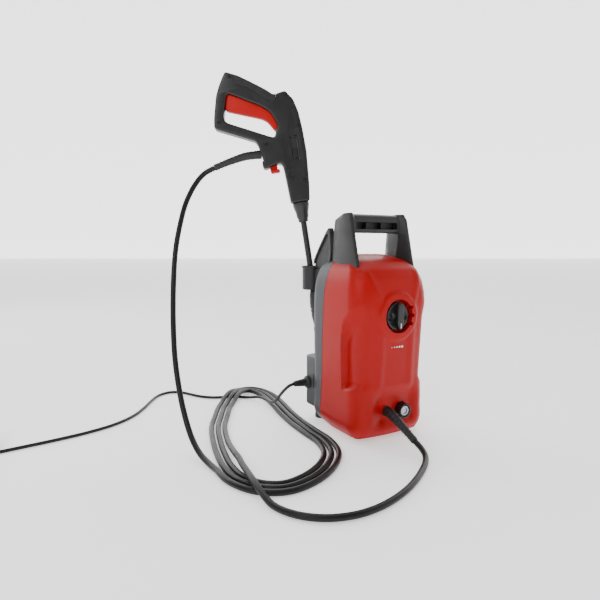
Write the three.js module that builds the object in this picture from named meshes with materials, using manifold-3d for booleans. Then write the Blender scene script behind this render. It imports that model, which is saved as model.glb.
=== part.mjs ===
// Compact upright pressure washer with its trigger gun, lance and high-pressure hose.
// Millimetres, +Z up. The machine's front faces -Y and the gun is stored at its rear left.
import * as THREE from 'three';
import { mergeVertices } from 'three/addons/utils/BufferGeometryUtils.js';
import Module from 'manifold-3d';

const wasm = await Module();
wasm.setup();

// ---- Driving dimensions -------------------------------------------------------------
const GAP = 0.3;                 // clearance between pieces that touch
const WALL = 3;                  // casing wall
const BODY_TOP = 345;
const SEAM_FLOOR_Y = 34;         // where the casing's joint line meets the floor plane
const SEAM_SLOPE = 0.07;         // how far it leans forward per millimetre of height
const UNDERSIDE_RISE = 0.15;     // slope of the underside behind the joint line

// height, front y, rear y, half width, corner radius
const BODY_LEVELS = [
  [10, -79, 66, 76, 18],
  [20, -84, 70, 82, 24],
  [60, -88, 72, 84, 28],
  [110, -88, 73, 84, 30],
  [160, -90, 74, 86, 32],
  [215, -93, 74, 87, 33],
  [255, -93, 73, 87, 32],
  [285, -89, 71, 85, 30],
  [308, -81, 67, 80, 27],
  [325, -68, 60, 72, 24],
  [337, -47, 50, 60, 22],
  [BODY_TOP, -16, 34, 44, 18],
];
const CROWN = 7;                 // how far the middle of the front stands proud of its edges
const REAR_BOX = { halfWidth: 76, front: 50, rear: 110, bottom: 30, top: 134, corner: 16 };

const KNOB = { z: 235, radius: 25.5, pocketRadius: 31, pocketY: -89, frontY: -108 };
const RECESS = { left: -42, right: 54, bottom: 30, top: 96, floorY: -73 };
const OUTLET = { x: -11, z: 55 };
const INLET = { x: 24, z: 53 };
const GLAND = { x: -REAR_BOX.halfWidth, y: 92, z: 78 };

const SHAFT_Y = -2;              // motor and pump stand on one upright shaft
const PISTON_CIRCLE = 20;

const CUP = { x: -62, y: 100, bottom: 272, top: 319, outer: 20.3, inner: 17.6 };
const GUN_YAW = 27;              // degrees from -X towards +Y that the gun's grip points
const GUN_LEAN = 8.757;          // degrees the lance leans out of plumb
const GUN_HALF = 15;             // half the gun's thickness

const HOSE_R = 5.2;
const CORD_R = 3.3;
const COIL = { pitch: 13, turns: 3 };
const CORD_COIL = { x: -690, y: 250, inner: 21, outer: 54.5, height: 34 };

// ---- Small helpers ------------------------------------------------------------------
const parts = new THREE.Group();
const gun = new THREE.Group();
parts.add(gun);

function finish(color, roughness, metalness = 0) {
  return new THREE.MeshStandardMaterial({ color, roughness, metalness });
}
const RED = () => finish('#e8201a', 0.38);
const GREY = () => finish('#5a5c61', 0.55);
const BLACK = () => finish('#2a2a2c', 0.5);
const RUBBER = () => finish('#171718', 0.6);
const SIGNAL = () => finish('#f8483c', 0.42);
const STEEL = () => finish('#b9bcc0', 0.3, 1);
const ALUMINIUM = () => finish('#c9cbce', 0.4, 1);

function add(name, geometry, material, group = parts) {
  const mesh = new THREE.Mesh(geometry, material);
  mesh.name = name;
  group.add(mesh);
  return mesh;
}

function solid(geometry) {
  const bare = geometry.clone();
  bare.deleteAttribute('normal');
  bare.deleteAttribute('uv');
  const merged = mergeVertices(bare, 1e-4);
  return new wasm.Manifold(new wasm.Mesh({
    numProp: 3,
    vertProperties: new Float32Array(merged.attributes.position.array),
    triVerts: new Uint32Array(merged.index.array),
  }));
}

function geometryOf(manifold) {
  const mesh = manifold.getMesh();
  const geometry = new THREE.BufferGeometry();
  geometry.setAttribute('position', new THREE.BufferAttribute(mesh.vertProperties, 3));
  geometry.setIndex(new THREE.BufferAttribute(mesh.triVerts, 1));
  return geometry;
}

function box(x0, x1, y0, y1, z0, z1) {
  const geometry = new THREE.BoxGeometry(x1 - x0, y1 - y0, z1 - z0);
  return geometry.translate((x0 + x1) / 2, (y0 + y1) / 2, (z0 + z1) / 2);
}

function cylinderZ(radius, x, y, z0, z1, sides = 28) {
  const geometry = new THREE.CylinderGeometry(radius, radius, z1 - z0, sides);
  return geometry.rotateX(Math.PI / 2).translate(x, y, (z0 + z1) / 2);
}

function cylinderY(radius, x, z, y0, y1, sides = 28) {
  const geometry = new THREE.CylinderGeometry(radius, radius, y1 - y0, sides);
  return geometry.translate(x, (y0 + y1) / 2, z);
}

function cylinderX(radius, y, z, x0, x1, sides = 28) {
  const geometry = new THREE.CylinderGeometry(radius, radius, x1 - x0, sides);
  return geometry.rotateZ(Math.PI / 2).translate((x0 + x1) / 2, y, z);
}

// A turned piece about an upright axis; the profile is a list of [radius, height].
function turned(profile, x = 0, y = 0, sides = 28) {
  const points = profile.map(([radius, height]) => new THREE.Vector2(radius, height));
  return new THREE.LatheGeometry(points, sides).rotateX(Math.PI / 2).translate(x, y, 0);
}

// A flat outline of [x, y] points, pulled along z from z0 to z1.
function plate(outline, z0, z1, hole) {
  const shape = new THREE.Shape(outline.map(([x, y]) => new THREE.Vector2(x, y)));
  if (hole) shape.holes.push(new THREE.Path(hole.map(([x, y]) => new THREE.Vector2(x, y))));
  return new THREE.ExtrudeGeometry(shape, { depth: z1 - z0, bevelEnabled: false }).translate(0, 0, z0);
}

// A closed skin through rings of equal point count, listed from the bottom up.
function loft(rings) {
  const count = rings[0].length;
  const positions = [];
  const index = [];
  rings.flat().forEach((point) => positions.push(...point));
  for (let level = 0; level + 1 < rings.length; level += 1) {
    for (let i = 0; i < count; i += 1) {
      const a = level * count + i;
      const b = level * count + (i + 1) % count;
      index.push(a, b, b + count, a, b + count, a + count);
    }
  }
  for (const [level, flip] of [[0, true], [rings.length - 1, false]]) {
    const middle = positions.length / 3;
    const sum = rings[level].reduce((s, p) => s.map((v, k) => v + p[k] / count), [0, 0, 0]);
    positions.push(...sum);
    for (let i = 0; i < count; i += 1) {
      const a = level * count + i;
      const b = level * count + (i + 1) % count;
      index.push(middle, flip ? b : a, flip ? a : b);
    }
  }
  const geometry = new THREE.BufferGeometry();
  geometry.setAttribute('position', new THREE.Float32BufferAttribute(positions, 3));
  geometry.setIndex(index);
  return geometry;
}

function tube(points, radius, steps, sides = 8) {
  const curve = new THREE.CatmullRomCurve3(points.map((p) => new THREE.Vector3(...p)));
  const section = new THREE.Shape();
  for (let i = 0; i < sides; i += 1) {
    const angle = (i + 0.5) * 2 * Math.PI / sides;
    section[i ? 'lineTo' : 'moveTo'](radius * Math.cos(angle), radius * Math.sin(angle));
  }
  return new THREE.ExtrudeGeometry(section, { steps, extrudePath: curve });
}

// ---- Casing -------------------------------------------------------------------------
// One horizontal ring of the casing: a rounded rectangle with a crowned front.
function bodyRing([height, front, rear, halfWidth, corner], grow) {
  const ring = [];
  const arcSteps = 5;
  const corners = [
    [halfWidth - corner, rear - corner, 0],
    [-halfWidth + corner, rear - corner, 90],
    [-halfWidth + corner, front + corner, 180],
    [halfWidth - corner, front + corner, 270],
  ];
  for (const [cx, cy, start] of corners) {
    for (let i = 0; i <= arcSteps; i += 1) {
      const angle = (start + 90 * i / arcSteps) * Math.PI / 180;
      const x = cx + (corner + grow) * Math.cos(angle);
      const y = cy + (corner + grow) * Math.sin(angle);
      ring.push([x, y]);
    }
    if (start === 180) {
      for (let i = 1; i < 6; i += 1) {
        const x = cx + 2 * (halfWidth - corner) * i / 6;
        ring.push([x, front - grow]);
      }
    }
  }
  const crownAt = (x) => CROWN * Math.max(0, 1 - (x / halfWidth) ** 2);
  const rise = Math.max(0, 1 - (height - BODY_LEVELS[0][0]) / 50) * UNDERSIDE_RISE;
  return ring.map(([x, y]) => {
    const proud = y < front + corner ? crownAt(x) : 0;
    return [x, y - proud, height + rise * Math.max(0, y)];
  });
}

function bodySolid(grow) {
  const last = BODY_LEVELS.length - 1;
  const rings = BODY_LEVELS.map((level, i) => {
    const shift = i === 0 ? -grow : (i === last ? grow : 0);
    return bodyRing([level[0] + shift, ...level.slice(1)], grow);
  });
  return solid(loft(rings));
}

function rearBoxSolid(grow) {
  const { halfWidth, front, rear, bottom, top, corner } = REAR_BOX;
  const w = halfWidth + grow;
  const r = corner + grow;
  const outline = [[w, front], [w, rear - corner]];
  for (let i = 1; i <= 5; i += 1) {
    const angle = i * Math.PI / 10;
    outline.push([w - r + r * Math.cos(angle), rear - corner + r * Math.sin(angle)]);
  }
  const mirrored = outline.map(([x, y]) => [-x, y]).reverse();
  const top1 = top + grow;
  return solid(plate([...outline, ...mirrored], bottom - grow, top1));
}

function casingSolid(grow) {
  return bodySolid(grow).add(rearBoxSolid(grow));
}

// Everything in front of (or behind) the leaning joint line, as one big block.
function seamBlock(frontSide, gap) {
  const size = 400;
  const sign = frontSide ? -1 : 1;
  const geometry = new THREE.BoxGeometry(size, size, 2 * size);
  geometry.translate(0, sign * (size / 2 + gap), 0).rotateX(Math.atan(SEAM_SLOPE));
  return solid(geometry.translate(0, SEAM_FLOOR_Y, 0));
}

function buildCasing() {
  const outer = casingSolid(0);
  const pocket = solid(cylinderY(KNOB.pocketRadius, 0, KNOB.z, -130, KNOB.pocketY, 40));
  const pocketWall = solid(
    cylinderY(KNOB.pocketRadius + WALL, 0, KNOB.z, -130, KNOB.pocketY + WALL, 40));
  const { left, right, bottom, top, floorY } = RECESS;
  const recess = solid(box(left, right, -130, floorY, bottom, top));
  const recessWall = solid(
    box(left - WALL, right + WALL, -130, floorY + WALL, bottom - WALL, top + WALL));
  const cavity = casingSolid(-WALL).subtract(pocketWall).subtract(recessWall);
  const shell = outer.subtract(cavity).subtract(pocket).subtract(recess);
  const holes = [
    cylinderY(6, 0, KNOB.z, -100, -70),
    cylinderY(9.6, OUTLET.x, OUTLET.z, -100, -60),
    cylinderY(9.6, INLET.x, INLET.z, -100, -60),
  ].map(solid);
  const front = holes.reduce((s, hole) => s.subtract(hole), shell.intersect(seamBlock(true, GAP / 2)));
  add('front_shell', geometryOf(front), RED());
  const glandHole = solid(cylinderX(8.5, GLAND.y, GLAND.z, -100, -60));
  let rear = shell.intersect(seamBlock(false, GAP / 2)).subtract(glandHole);
  SCREWS.forEach(([x, z]) => {
    rear = rear.subtract(solid(cylinderY(4.2, x, z, 60, 120, 16)));
  });
  add('rear_shell', geometryOf(rear), GREY());
}

// Heads and shanks of the casing screws, set into the rear wall.
const SCREWS = [[-52, 60], [52, 60], [-50, 112], [50, 112]];

function buildScrews() {
  SCREWS.forEach(([x, z], i) => {
    const head = solid(cylinderY(3.8, x, z, REAR_BOX.rear - 2, REAR_BOX.rear - GAP, 12));
    const shank = solid(cylinderY(2, x, z, REAR_BOX.rear - 34, REAR_BOX.rear - 1, 8));
    add(`case_screw_${i + 1}`, geometryOf(head.add(shank)), STEEL());
  });
}

const FEET = [
  ['foot_front_left', -50, -50, 10],
  ['foot_front_right', 50, -50, 10],
  ['foot_rear_left', -50, 84, 30],
  ['foot_rear_right', 50, 84, 30],
];

function buildFeet() {
  FEET.forEach(([name, x, y, top]) => {
    const height = top - GAP;
    add(name, turned([[0, 0], [10, 0], [11.5, 2], [10.5, height], [0, height]], x, y, 20), RUBBER());
  });
}

// ---- Carrying handle and gun holder --------------------------------------------------
// Plan sections of the left arm, from foot to crest: height, then [distance out, y] points.
const ARM_SECTIONS = [
  [312, [[68.5, -68], [70, -13], [65, 24], [58, 6], [54, -24], [62, -70]]],
  [330, [[68.5, -62], [70, -13], [65, 22], [58, 5], [54, -25], [62, -64]]],
  [385, [[68.5, -48], [70, -14], [65, 17], [58, 3], [54, -33], [62, -50]]],
  [412, [[68, -42], [69, -15], [64, 14], [58, 1], [53, -35], [61, -44]]],
  [423, [[65, -36], [65.5, -18], [61, -10], [56, -10], [53, -30], [61, -38]]],
];
const BAR = { front: -34, rear: -12, bottom: 387, top: 421 };

function buildHandle(casing) {
  const arm = (sign) => loft(ARM_SECTIONS.map(([z, points]) => {
    const ring = points.map(([x, y]) => [sign * x, y, z]);
    return sign > 0 ? ring : ring.reverse();
  }));
  const { front, rear, bottom, top } = BAR;
  const middle = (front + rear) / 2;
  const profile = [
    [front + 2, bottom], [rear - 2, bottom], [rear, bottom + 3], [rear, top - 7],
    [middle + 6, top], [middle - 5, top], [front, top - 7], [front, bottom + 3],
  ];
  // The outline lies in (y, z) and is pulled along x between the arms.
  const bar = plate(profile, -58, 58).rotateY(Math.PI / 2).rotateX(Math.PI / 2);
  const handle = solid(arm(1)).add(solid(arm(-1))).add(solid(bar)).subtract(casing);
  add('carry_handle', geometryOf(handle), BLACK());
}

function buildHolder(casing) {
  const gusset = [[25, 392], [30, 397], [45, 384], [92, 320], [92, 276], [60, 300], [25, 332]];
  const rib = plate(gusset, -66, -60).rotateY(Math.PI / 2).rotateX(Math.PI / 2);
  const cup = turned([
    [CUP.inner, CUP.bottom], [CUP.outer, CUP.bottom], [CUP.outer, CUP.top],
    [CUP.inner, CUP.top], [CUP.inner, CUP.bottom],
  ], CUP.x, CUP.y, 32);
  const web = box(-66, -46, 62, 84, CUP.bottom, CUP.top - 3);
  const hollow = cylinderZ(CUP.inner, CUP.x, CUP.y, CUP.bottom - 20, CUP.top + 20, 32);
  const holder = solid(rib).add(solid(web)).subtract(solid(hollow)).add(solid(cup));
  add('gun_holder', geometryOf(holder.subtract(casing)), BLACK());
}

// ---- Controls and water connections --------------------------------------------------
function buildKnob() {
  const disc = solid(cylinderY(KNOB.radius, 0, KNOB.z, KNOB.pocketY - 9, KNOB.pocketY - GAP, 40));
  const grip = solid(box(-6, 6, KNOB.frontY, KNOB.pocketY - 8, KNOB.z - 24, KNOB.z + 24));
  const stem = solid(cylinderY(4, 0, KNOB.z, KNOB.pocketY - 1, -80, 16));
  add('switch_knob', geometryOf(disc.add(grip).add(stem)), BLACK());
  const body = solid(box(-20, 20, -85, -54, KNOB.z - 20, KNOB.z + 20));
  const bore = solid(cylinderY(4.4, 0, KNOB.z, -90, -74, 16));
  add('rotary_switch', geometryOf(body.subtract(bore)), BLACK());
}

function buildWaterFittings() {
  const outlet = solid(cylinderY(9, OUTLET.x, OUTLET.z, -82, -40));
  add('outlet_fitting', geometryOf(outlet), ALUMINIUM());
  const inlet = solid(cylinderY(9, INLET.x, INLET.z, -96, -40));
  const mouth = solid(cylinderY(6.6, INLET.x, INLET.z, -97, -86));
  add('inlet_fitting', geometryOf(inlet.subtract(mouth)), ALUMINIUM());
  const filter = cylinderY(6.2, INLET.x, INLET.z, -94, -86.5);
  add('inlet_filter', filter, STEEL());
  const flutes = [];
  for (let i = 0; i < 36; i += 1) {
    const angle = i * Math.PI / 18;
    const radius = i % 3 === 2 ? 12.2 : 13.8;
    flutes.push([radius * Math.cos(angle), radius * Math.sin(angle)]);
  }
  const nut = plate(flutes, 0, 24).rotateX(Math.PI / 2).translate(INLET.x, -74, INLET.z);
  const bore = solid(cylinderY(9.4, INLET.x, INLET.z, -104, -70));
  add('inlet_nut', geometryOf(solid(nut).subtract(bore)), BLACK());
}

// ---- Motor and pump -------------------------------------------------------------------
function ringZ(outer, inner, z0, z1, sides = 32) {
  return turned([[inner, z0], [outer, z0], [outer, z1], [inner, z1], [inner, z0]], 0, SHAFT_Y, sides);
}

function spring(x, y, z0, z1, radius, wire, turns) {
  const steps = turns * 8;
  const points = [];
  for (let i = 0; i <= steps; i += 1) {
    const angle = i * 2 * Math.PI / 8;
    points.push([x + radius * Math.cos(angle), y + radius * Math.sin(angle), z0 + (z1 - z0) * i / steps]);
  }
  return tube(points, wire, steps, 5);
}

function buildMotor() {
  add('motor_housing', ringZ(47, 33, 178, 284), STEEL());
  add('motor_cap', ringZ(47, 8, 284 + GAP, 296), ALUMINIUM());
  const rotor = turned([[0, 122], [6, 122], [6, 184], [31, 184], [31, 278], [6, 278], [6, 318], [0, 318]],
    0, SHAFT_Y, 32);
  add('motor_rotor', rotor, STEEL());
  let fan = solid(ringZ(11, 6.3, 300, 314));
  for (let i = 0; i < 8; i += 1) {
    const blade = new THREE.BoxGeometry(30, 2.4, 12).rotateX(0.6).translate(24, 0, 307);
    blade.rotateZ(i * Math.PI / 4).translate(0, SHAFT_Y, 0);
    fan = fan.add(solid(blade));
  }
  add('cooling_fan', geometryOf(fan), BLACK());
}

function buildPump() {
  add('pump_housing', ringZ(44, 37, 92, 150), ALUMINIUM());
  add('shaft_bearing', ringZ(36.6, 6.3, 152, 162), STEEL());
  const blank = solid(ringZ(28, 6.3, 121, 146));
  const wedge = new THREE.BoxGeometry(120, 120, 60).translate(0, 0, -30).rotateY(0.14);
  const swash = blank.subtract(solid(wedge.translate(0, SHAFT_Y, 127)));
  add('swash_plate', geometryOf(swash), STEEL());
  let head = solid(turned([[0, 42], [38, 42], [38, 88], [0, 88]], 0, SHAFT_Y, 32));
  for (let i = 0; i < 3; i += 1) {
    const angle = (90 + 120 * i) * Math.PI / 180;
    const x = PISTON_CIRCLE * Math.cos(angle);
    const y = SHAFT_Y + PISTON_CIRCLE * Math.sin(angle);
    const profile = [[0, 66], [6, 66], [6, 106], [9.6, 107], [9.6, 112], [3, 118], [0, 118.5]];
    add(`piston_${i + 1}`, turned(profile, x, y, 20), STEEL());
    add(`piston_spring_${i + 1}`, spring(x, y, 90.2, 104.6, 7.9, 0.9, 3), STEEL());
    head = head.subtract(solid(cylinderZ(6.3, x, y, 64, 100, 20)));
  }
  add('pump_head', geometryOf(head), ALUMINIUM());
  add('bypass_valve', cylinderZ(7, 50, -30, 44, 92), ALUMINIUM());
  add('pressure_switch', box(-74, -50, -8, 16, 60, 104), BLACK());
}

function buildElectrics() {
  add('capacitor', cylinderZ(12, 62, 22, 190, 240), ALUMINIUM());
  add('terminal_block', box(-40, -8, 76, 98, 56, 84), finish('#d9d6cc', 0.6));
  const inner = REAR_BOX.halfWidth;
  const profile = [[0, 0], [13, 0], [13, 4], [9, 8], [6.5, 34], [0, 34]];
  const flange = new THREE.LatheGeometry(profile.map(([r, h]) => new THREE.Vector2(r, h)), 24);
  const gland = solid(flange.rotateZ(Math.PI / 2).translate(-inner - GAP, GLAND.y, GLAND.z));
  const neck = solid(cylinderX(8, GLAND.y, GLAND.z, -inner - 1, -inner + 12, 24));
  add('cable_gland', geometryOf(gland.add(neck)), RUBBER());
}

// ---- Trigger gun ----------------------------------------------------------------------
// Gun frame: x towards the grip, y up the lance, z away from the machine's front.
const GUN_OUTLINE = [
  [20, 157], [24, 232], [29, 240], [58, 232], [64.5, 234], [65.5, 246], [62, 249], [64, 262], [67.6, 279],
  [72.4, 289], [143, 321], [148.5, 325], [146, 342], [135, 384], [126, 403], [117, 417.5], [109.8, 428],
  [86, 417.4], [62, 402], [36, 384], [22, 372], [9, 375], [-2, 376.5], [-9.4, 366], [-15.3, 358],
  [-22, 333], [-25.2, 300], [-26.7, 255], [-22.8, 194], [-18.5, 157],
].reverse();
const FINGER_HOLE = [
  [28, 304], [32.8, 289.5], [123, 332], [126.5, 341.8], [115, 382], [110, 386], [49.6, 353], [33.2, 339],
  [22.6, 313],
];
const TRIGGER = [
  [24, 300], [31, 306], [41.7, 323.9], [53, 331.4], [122, 356.2], [116, 380], [109, 396], [80, 383],
  [49, 362], [28, 343], [14, 320], [15, 306],
];
const TRIGGER_PIVOT = [21, 313];
const TRIGGER_SLOT = [
  [36, 300], [20, 292], [5, 300], [4, 325], [20, 352], [44, 375], [80, 399], [104, 411], [119, 392],
  [126, 356], [60, 330],
];

function buildGunShells() {
  const outline = (z0, z1) => solid(plate(GUN_OUTLINE, z0, z1, FINGER_HOLE));
  const cuts = [
    plate(TRIGGER_SLOT, -8.2, 8.2),
    box(-13, 13, 165, 296, -10, 10),
    box(12, 60, 252, 274, -10, 10),
    cylinderX(8, 263, 0, 50, 80, 20),
    cylinderY(7.4, 0, 0, 150, 180, 20),
    box(35, 52, 228, 254, -6.2, 6.2),
  ].map(solid);
  const window = solid(box(-10.5, 3, 241, 288, -GUN_HALF - 1, -9));
  const insertSeat = solid(plate(INSERT_SEAT, -20, 20));
  for (const [name, z0, z1] of [['gun_shell_left', -GUN_HALF, -GAP / 2],
    ['gun_shell_right', GAP / 2, GUN_HALF]]) {
    let half = outline(z0, z1).subtract(insertSeat);
    cuts.forEach((cut) => { half = half.subtract(cut); });
    if (z0 < -1) half = half.subtract(window);
    add(name, geometryOf(half), BLACK(), gun);
  }
}

// The soft insert along the back of the grip.
const INSERT = [[93, 421], [70, 408], [45, 391], [30, 379], [33, 374], [47, 384], [72, 401], [96, 413]];
const INSERT_SEAT = [
  [93.5, 430], [60, 415], [29, 386], [29.5, 378.6], [32.8, 373.4], [47.2, 383.5], [72.3, 400.5], [97, 412.7],
  [96, 430],
];

function buildGunParts() {
  add('grip_insert', plate(INSERT.reverse(), -GUN_HALF, GUN_HALF), RUBBER(), gun);
  const pinHole = solid(plate(circle(...TRIGGER_PIVOT, 2.4, 12), -9, 9));
  const trigger = solid(plate(TRIGGER, -7.5, 7.5)).subtract(pinHole);
  add('trigger', geometryOf(trigger), SIGNAL(), gun);
  add('trigger_pin', plate(circle(...TRIGGER_PIVOT, 2, 12), -7.9, 7.9), STEEL(), gun);
  const block = solid(box(-11, 11, 184, 290, -8.5, 8.5)).add(solid(box(8, 49, 254, 272, -8, 8)));
  add('valve_block', geometryOf(block), ALUMINIUM(), gun);
  add('lock_slide', box(-8, 1, 246, 262, -GUN_HALF + 0.6, -9.5), BLACK(), gun);
  const clip = solid(box(32, 50.5, 223.6, 228.6, -9, 9)).add(solid(box(36, 51, 228, 248, -5.5, 5.5)));
  add('hose_clip', geometryOf(clip), SIGNAL(), gun);
}

function circle(x, y, radius, sides) {
  return Array.from({ length: sides }, (_, i) => {
    const angle = i * 2 * Math.PI / sides;
    return [x + radius * Math.cos(angle), y + radius * Math.sin(angle)];
  });
}

function buildLance() {
  const along = (profile, sides = 24) => {
    const points = profile.map(([radius, height]) => new THREE.Vector2(radius, height));
    return new THREE.LatheGeometry(points, sides);
  };
  add('lance_collar', along([[0, 117], [10, 117], [17, 156.7], [7, 156.7], [7, 176], [0, 176]]), BLACK(), gun);
  add('lance_tube', along([[0, -23], [6.3, -23], [6.3, 116.7], [0, 116.7]]), BLACK(), gun);
  const body = [[0, -98], [11, -98], [13, -80], [13, -52], [11, -36], [8, -24], [0, -23 - GAP]];
  add('nozzle_body', along(body), BLACK(), gun);
  add('nozzle_tip', along([[0, -161.5], [8.5, -161.5], [12.6, -150], [12.6, -104], [11, -98 - GAP],
    [0, -98 - GAP]]), BLACK(), gun);
}

// ---- Free cords -----------------------------------------------------------------------
// High-pressure hose from the gun down to the floor, and from the coil to the outlet.
const HOSE_FROM_GUN = [
  [-239.6, 190.6, 518.2], [-257, 199, 507], [-275, 201, 486], [-297, 194, 449], [-313, 182, 409],
  [-329, 166, 355], [-339, 150, 300], [-347, 132, 228], [-352, 110, 160], [-353, 88, 112], [-351, 62, 68],
  [-349, 32, 32], [-345, 0, 13], [-340, -34, 6], [-337, -66, 5.4],
];
const HOSE_TO_OUTLET = [
  [-299, -54, 16.8], [-303, -84, 16.8], [-307, -112, 17], [-311, -142, 16.8], [-312, -172, 12], [-310, -200, 6.5],
  [-301, -226, 5.4], [-284, -250, 5.4], [-258, -269, 5.4], [-222, -280, 5.4], [-186, -280, 5.4],
  [-152, -273, 5.4], [-118, -261, 5.4], [-84, -244, 5.4], [-52, -224, 5.4], [-28, -206, 6.2], [-14, -191, 9],
  [-8, -176, 13.8], [-7.3, -159.8, 20.7],
];
const OUTLET_SLEEVE = [[-11, -84, 55], [-11, -97, 53.6], [-10.4, -124, 41], [-7.5, -158, 21.5]];
const GUN_SLEEVE = [[68, 263.4, 0], [97, 264, 0], [129, 258.5, 0], [161.5, 250.9, 0]];
// Mains lead from the gland, over the hose and away to its coil.
const LEAD = [
  [-111.6, 92.2, 77.8], [-119, 94, 75.5], [-124, 112, 60], [-124, 130, 45], [-122, 150, 30], [-120, 172, 19],
  [-118, 196, 14.6], [-119, 220, 14.4], [-122, 242, 12], [-128, 262, 7], [-138, 280, 3.6],
  [-156, 296, 3.6], [-180, 306, 3.6], [-206, 318, 3.6], [-228, 340, 3.6], [-244, 370, 3.6],
  [-260, 398, 3.6], [-284, 410, 3.6], [-312, 398, 3.6], [-338, 364, 3.6], [-366, 318, 3.6],
  [-398, 276, 3.6], [-440, 244, 3.6], [-492, 224, 3.6], [-548, 213, 3.6], [-604, 206, 3.6], [-650, 201, 3.6],
];

// The outermost turn on the floor, counter-clockwise; the inner turns lie a pitch apart inside it.
const RING = [
  [-327, 1], [-337, -60], [-334, -112], [-311, -157], [-272, -180], [-222, -175], [-168, -147], [-126, -102],
  [-107, -46], [-104, 10], [-100, 65], [-90, 130], [-77, 190], [-68, 250], [-70, 296], [-83, 330], [-104, 346],
  [-130, 344], [-160, 326], [-194, 290], [-226, 248], [-258, 190], [-288, 131], [-310, 66],
];

function coilRing(inset, steps) {
  const curve = new THREE.CatmullRomCurve3(RING.map(([x, y]) => new THREE.Vector3(x, y, 0)), true);
  return Array.from({ length: steps }, (_, i) => {
    const point = curve.getPointAt(i / steps);
    const way = curve.getTangentAt(i / steps);
    return [point.x - inset * way.y, point.y + inset * way.x];
  });
}

function buildHose() {
  add('hose_to_gun', tube(HOSE_FROM_GUN, HOSE_R, 30), RUBBER());
  add('hose_to_outlet', tube(HOSE_TO_OUTLET, HOSE_R, 30), RUBBER());
  const edge = HOSE_R + 0.6;
  const outer = coilRing(-edge, 60);
  const inner = coilRing(COIL.turns * COIL.pitch + edge, 48).reverse();
  let ring = solid(plate(outer, 0.2, 2 * HOSE_R, inner));
  const fat = HOSE_R + 0.5;
  const leadNotch = tube(LEAD.slice(7, 17), CORD_R + 1, 24);
  ring = ring.subtract(solid(tube(HOSE_FROM_GUN, fat, 30))).subtract(solid(leadNotch));
  ring = ring.subtract(solid(tube(HOSE_TO_OUTLET, fat, 30)));
  add('hose_coil', geometryOf(largest(ring)), RUBBER());
  add('outlet_sleeve', tube(OUTLET_SLEEVE, 8.6, 10, 12), RUBBER());
  add('gun_hose_sleeve', tube(GUN_SLEEVE, 8.4, 10, 12), RUBBER(), gun);
}

// A cut may leave a sliver behind; the piece is the largest body.
function largest(manifold) {
  const bodies = manifold.decompose();
  return bodies.reduce((best, body) => (body.volume() > best.volume() ? body : best));
}

function buildLead() {
  add('power_lead', tube(LEAD, CORD_R, 46), RUBBER());
  const { x, y, inner, outer, height } = CORD_COIL;
  add('power_lead_coil', turned([
    [inner, 0.2], [outer, 0.2], [outer, height], [inner, height], [inner, 0.2],
  ], x, y, 32), RUBBER());
  const profile = [[0, 0], [5, 0], [6.5, 34], [11, 40], [18, 46], [18, 74], [15, 82], [0, 82]];
  const body = new THREE.LatheGeometry(profile.map(([r, h]) => new THREE.Vector2(r, h)), 24);
  const tail = [x - outer - 19, y + 12, 18.6];
  let plug = solid(body.translate(...tail));
  for (const side of [-9.5, 9.5]) {
    plug = plug.add(solid(cylinderY(2.4, tail[0] + side, tail[2], tail[1] + 80, tail[1] + 101, 12)));
  }
  add('mains_plug', geometryOf(plug), RUBBER());
}

// ---- Assembly -------------------------------------------------------------------------
const casingClearance = casingSolid(GAP + 0.1);
buildCasing();
buildScrews();
buildFeet();
buildHandle(casingClearance);
buildHolder(casingClearance);
buildKnob();
buildWaterFittings();
buildMotor();
buildPump();
buildElectrics();
buildGunShells();
buildGunParts();
buildLance();
buildHose();
buildLead();

// The gun stands in its holder: leaned about its own thickness, then turned to the left rear.
const yaw = GUN_YAW * Math.PI / 180;
const lean = GUN_LEAN * Math.PI / 180;
const grip = new THREE.Vector3(-Math.cos(yaw), Math.sin(yaw), 0);
const up = new THREE.Vector3(0, 0, 1);
const gunX = grip.clone().multiplyScalar(Math.cos(lean)).addScaledVector(up, -Math.sin(lean));
const gunY = grip.clone().multiplyScalar(Math.sin(lean)).addScaledVector(up, Math.cos(lean));
const gunZ = new THREE.Vector3().crossVectors(gunX, gunY);
gun.quaternion.setFromRotationMatrix(new THREE.Matrix4().makeBasis(gunX, gunY, gunZ));
gun.position.set(CUP.x, CUP.y, (CUP.bottom + CUP.top) / 2);

// The origin is the middle of the floor area that the machine and gun cover.
const CORD_NODES = new Set(['hose_to_gun', 'hose_coil', 'hose_to_outlet', 'outlet_sleeve',
  'gun_hose_sleeve', 'power_lead', 'power_lead_coil', 'mains_plug']);
parts.updateMatrixWorld(true);
const extent = new THREE.Box3();
parts.traverse((piece) => {
  if (piece.isMesh && !CORD_NODES.has(piece.name)) extent.expandByObject(piece, true);
});
const middle = extent.getCenter(new THREE.Vector3());
parts.position.set(-middle.x, -middle.y, 0);

const group = new THREE.Group();
group.add(parts);
export default group;
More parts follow.
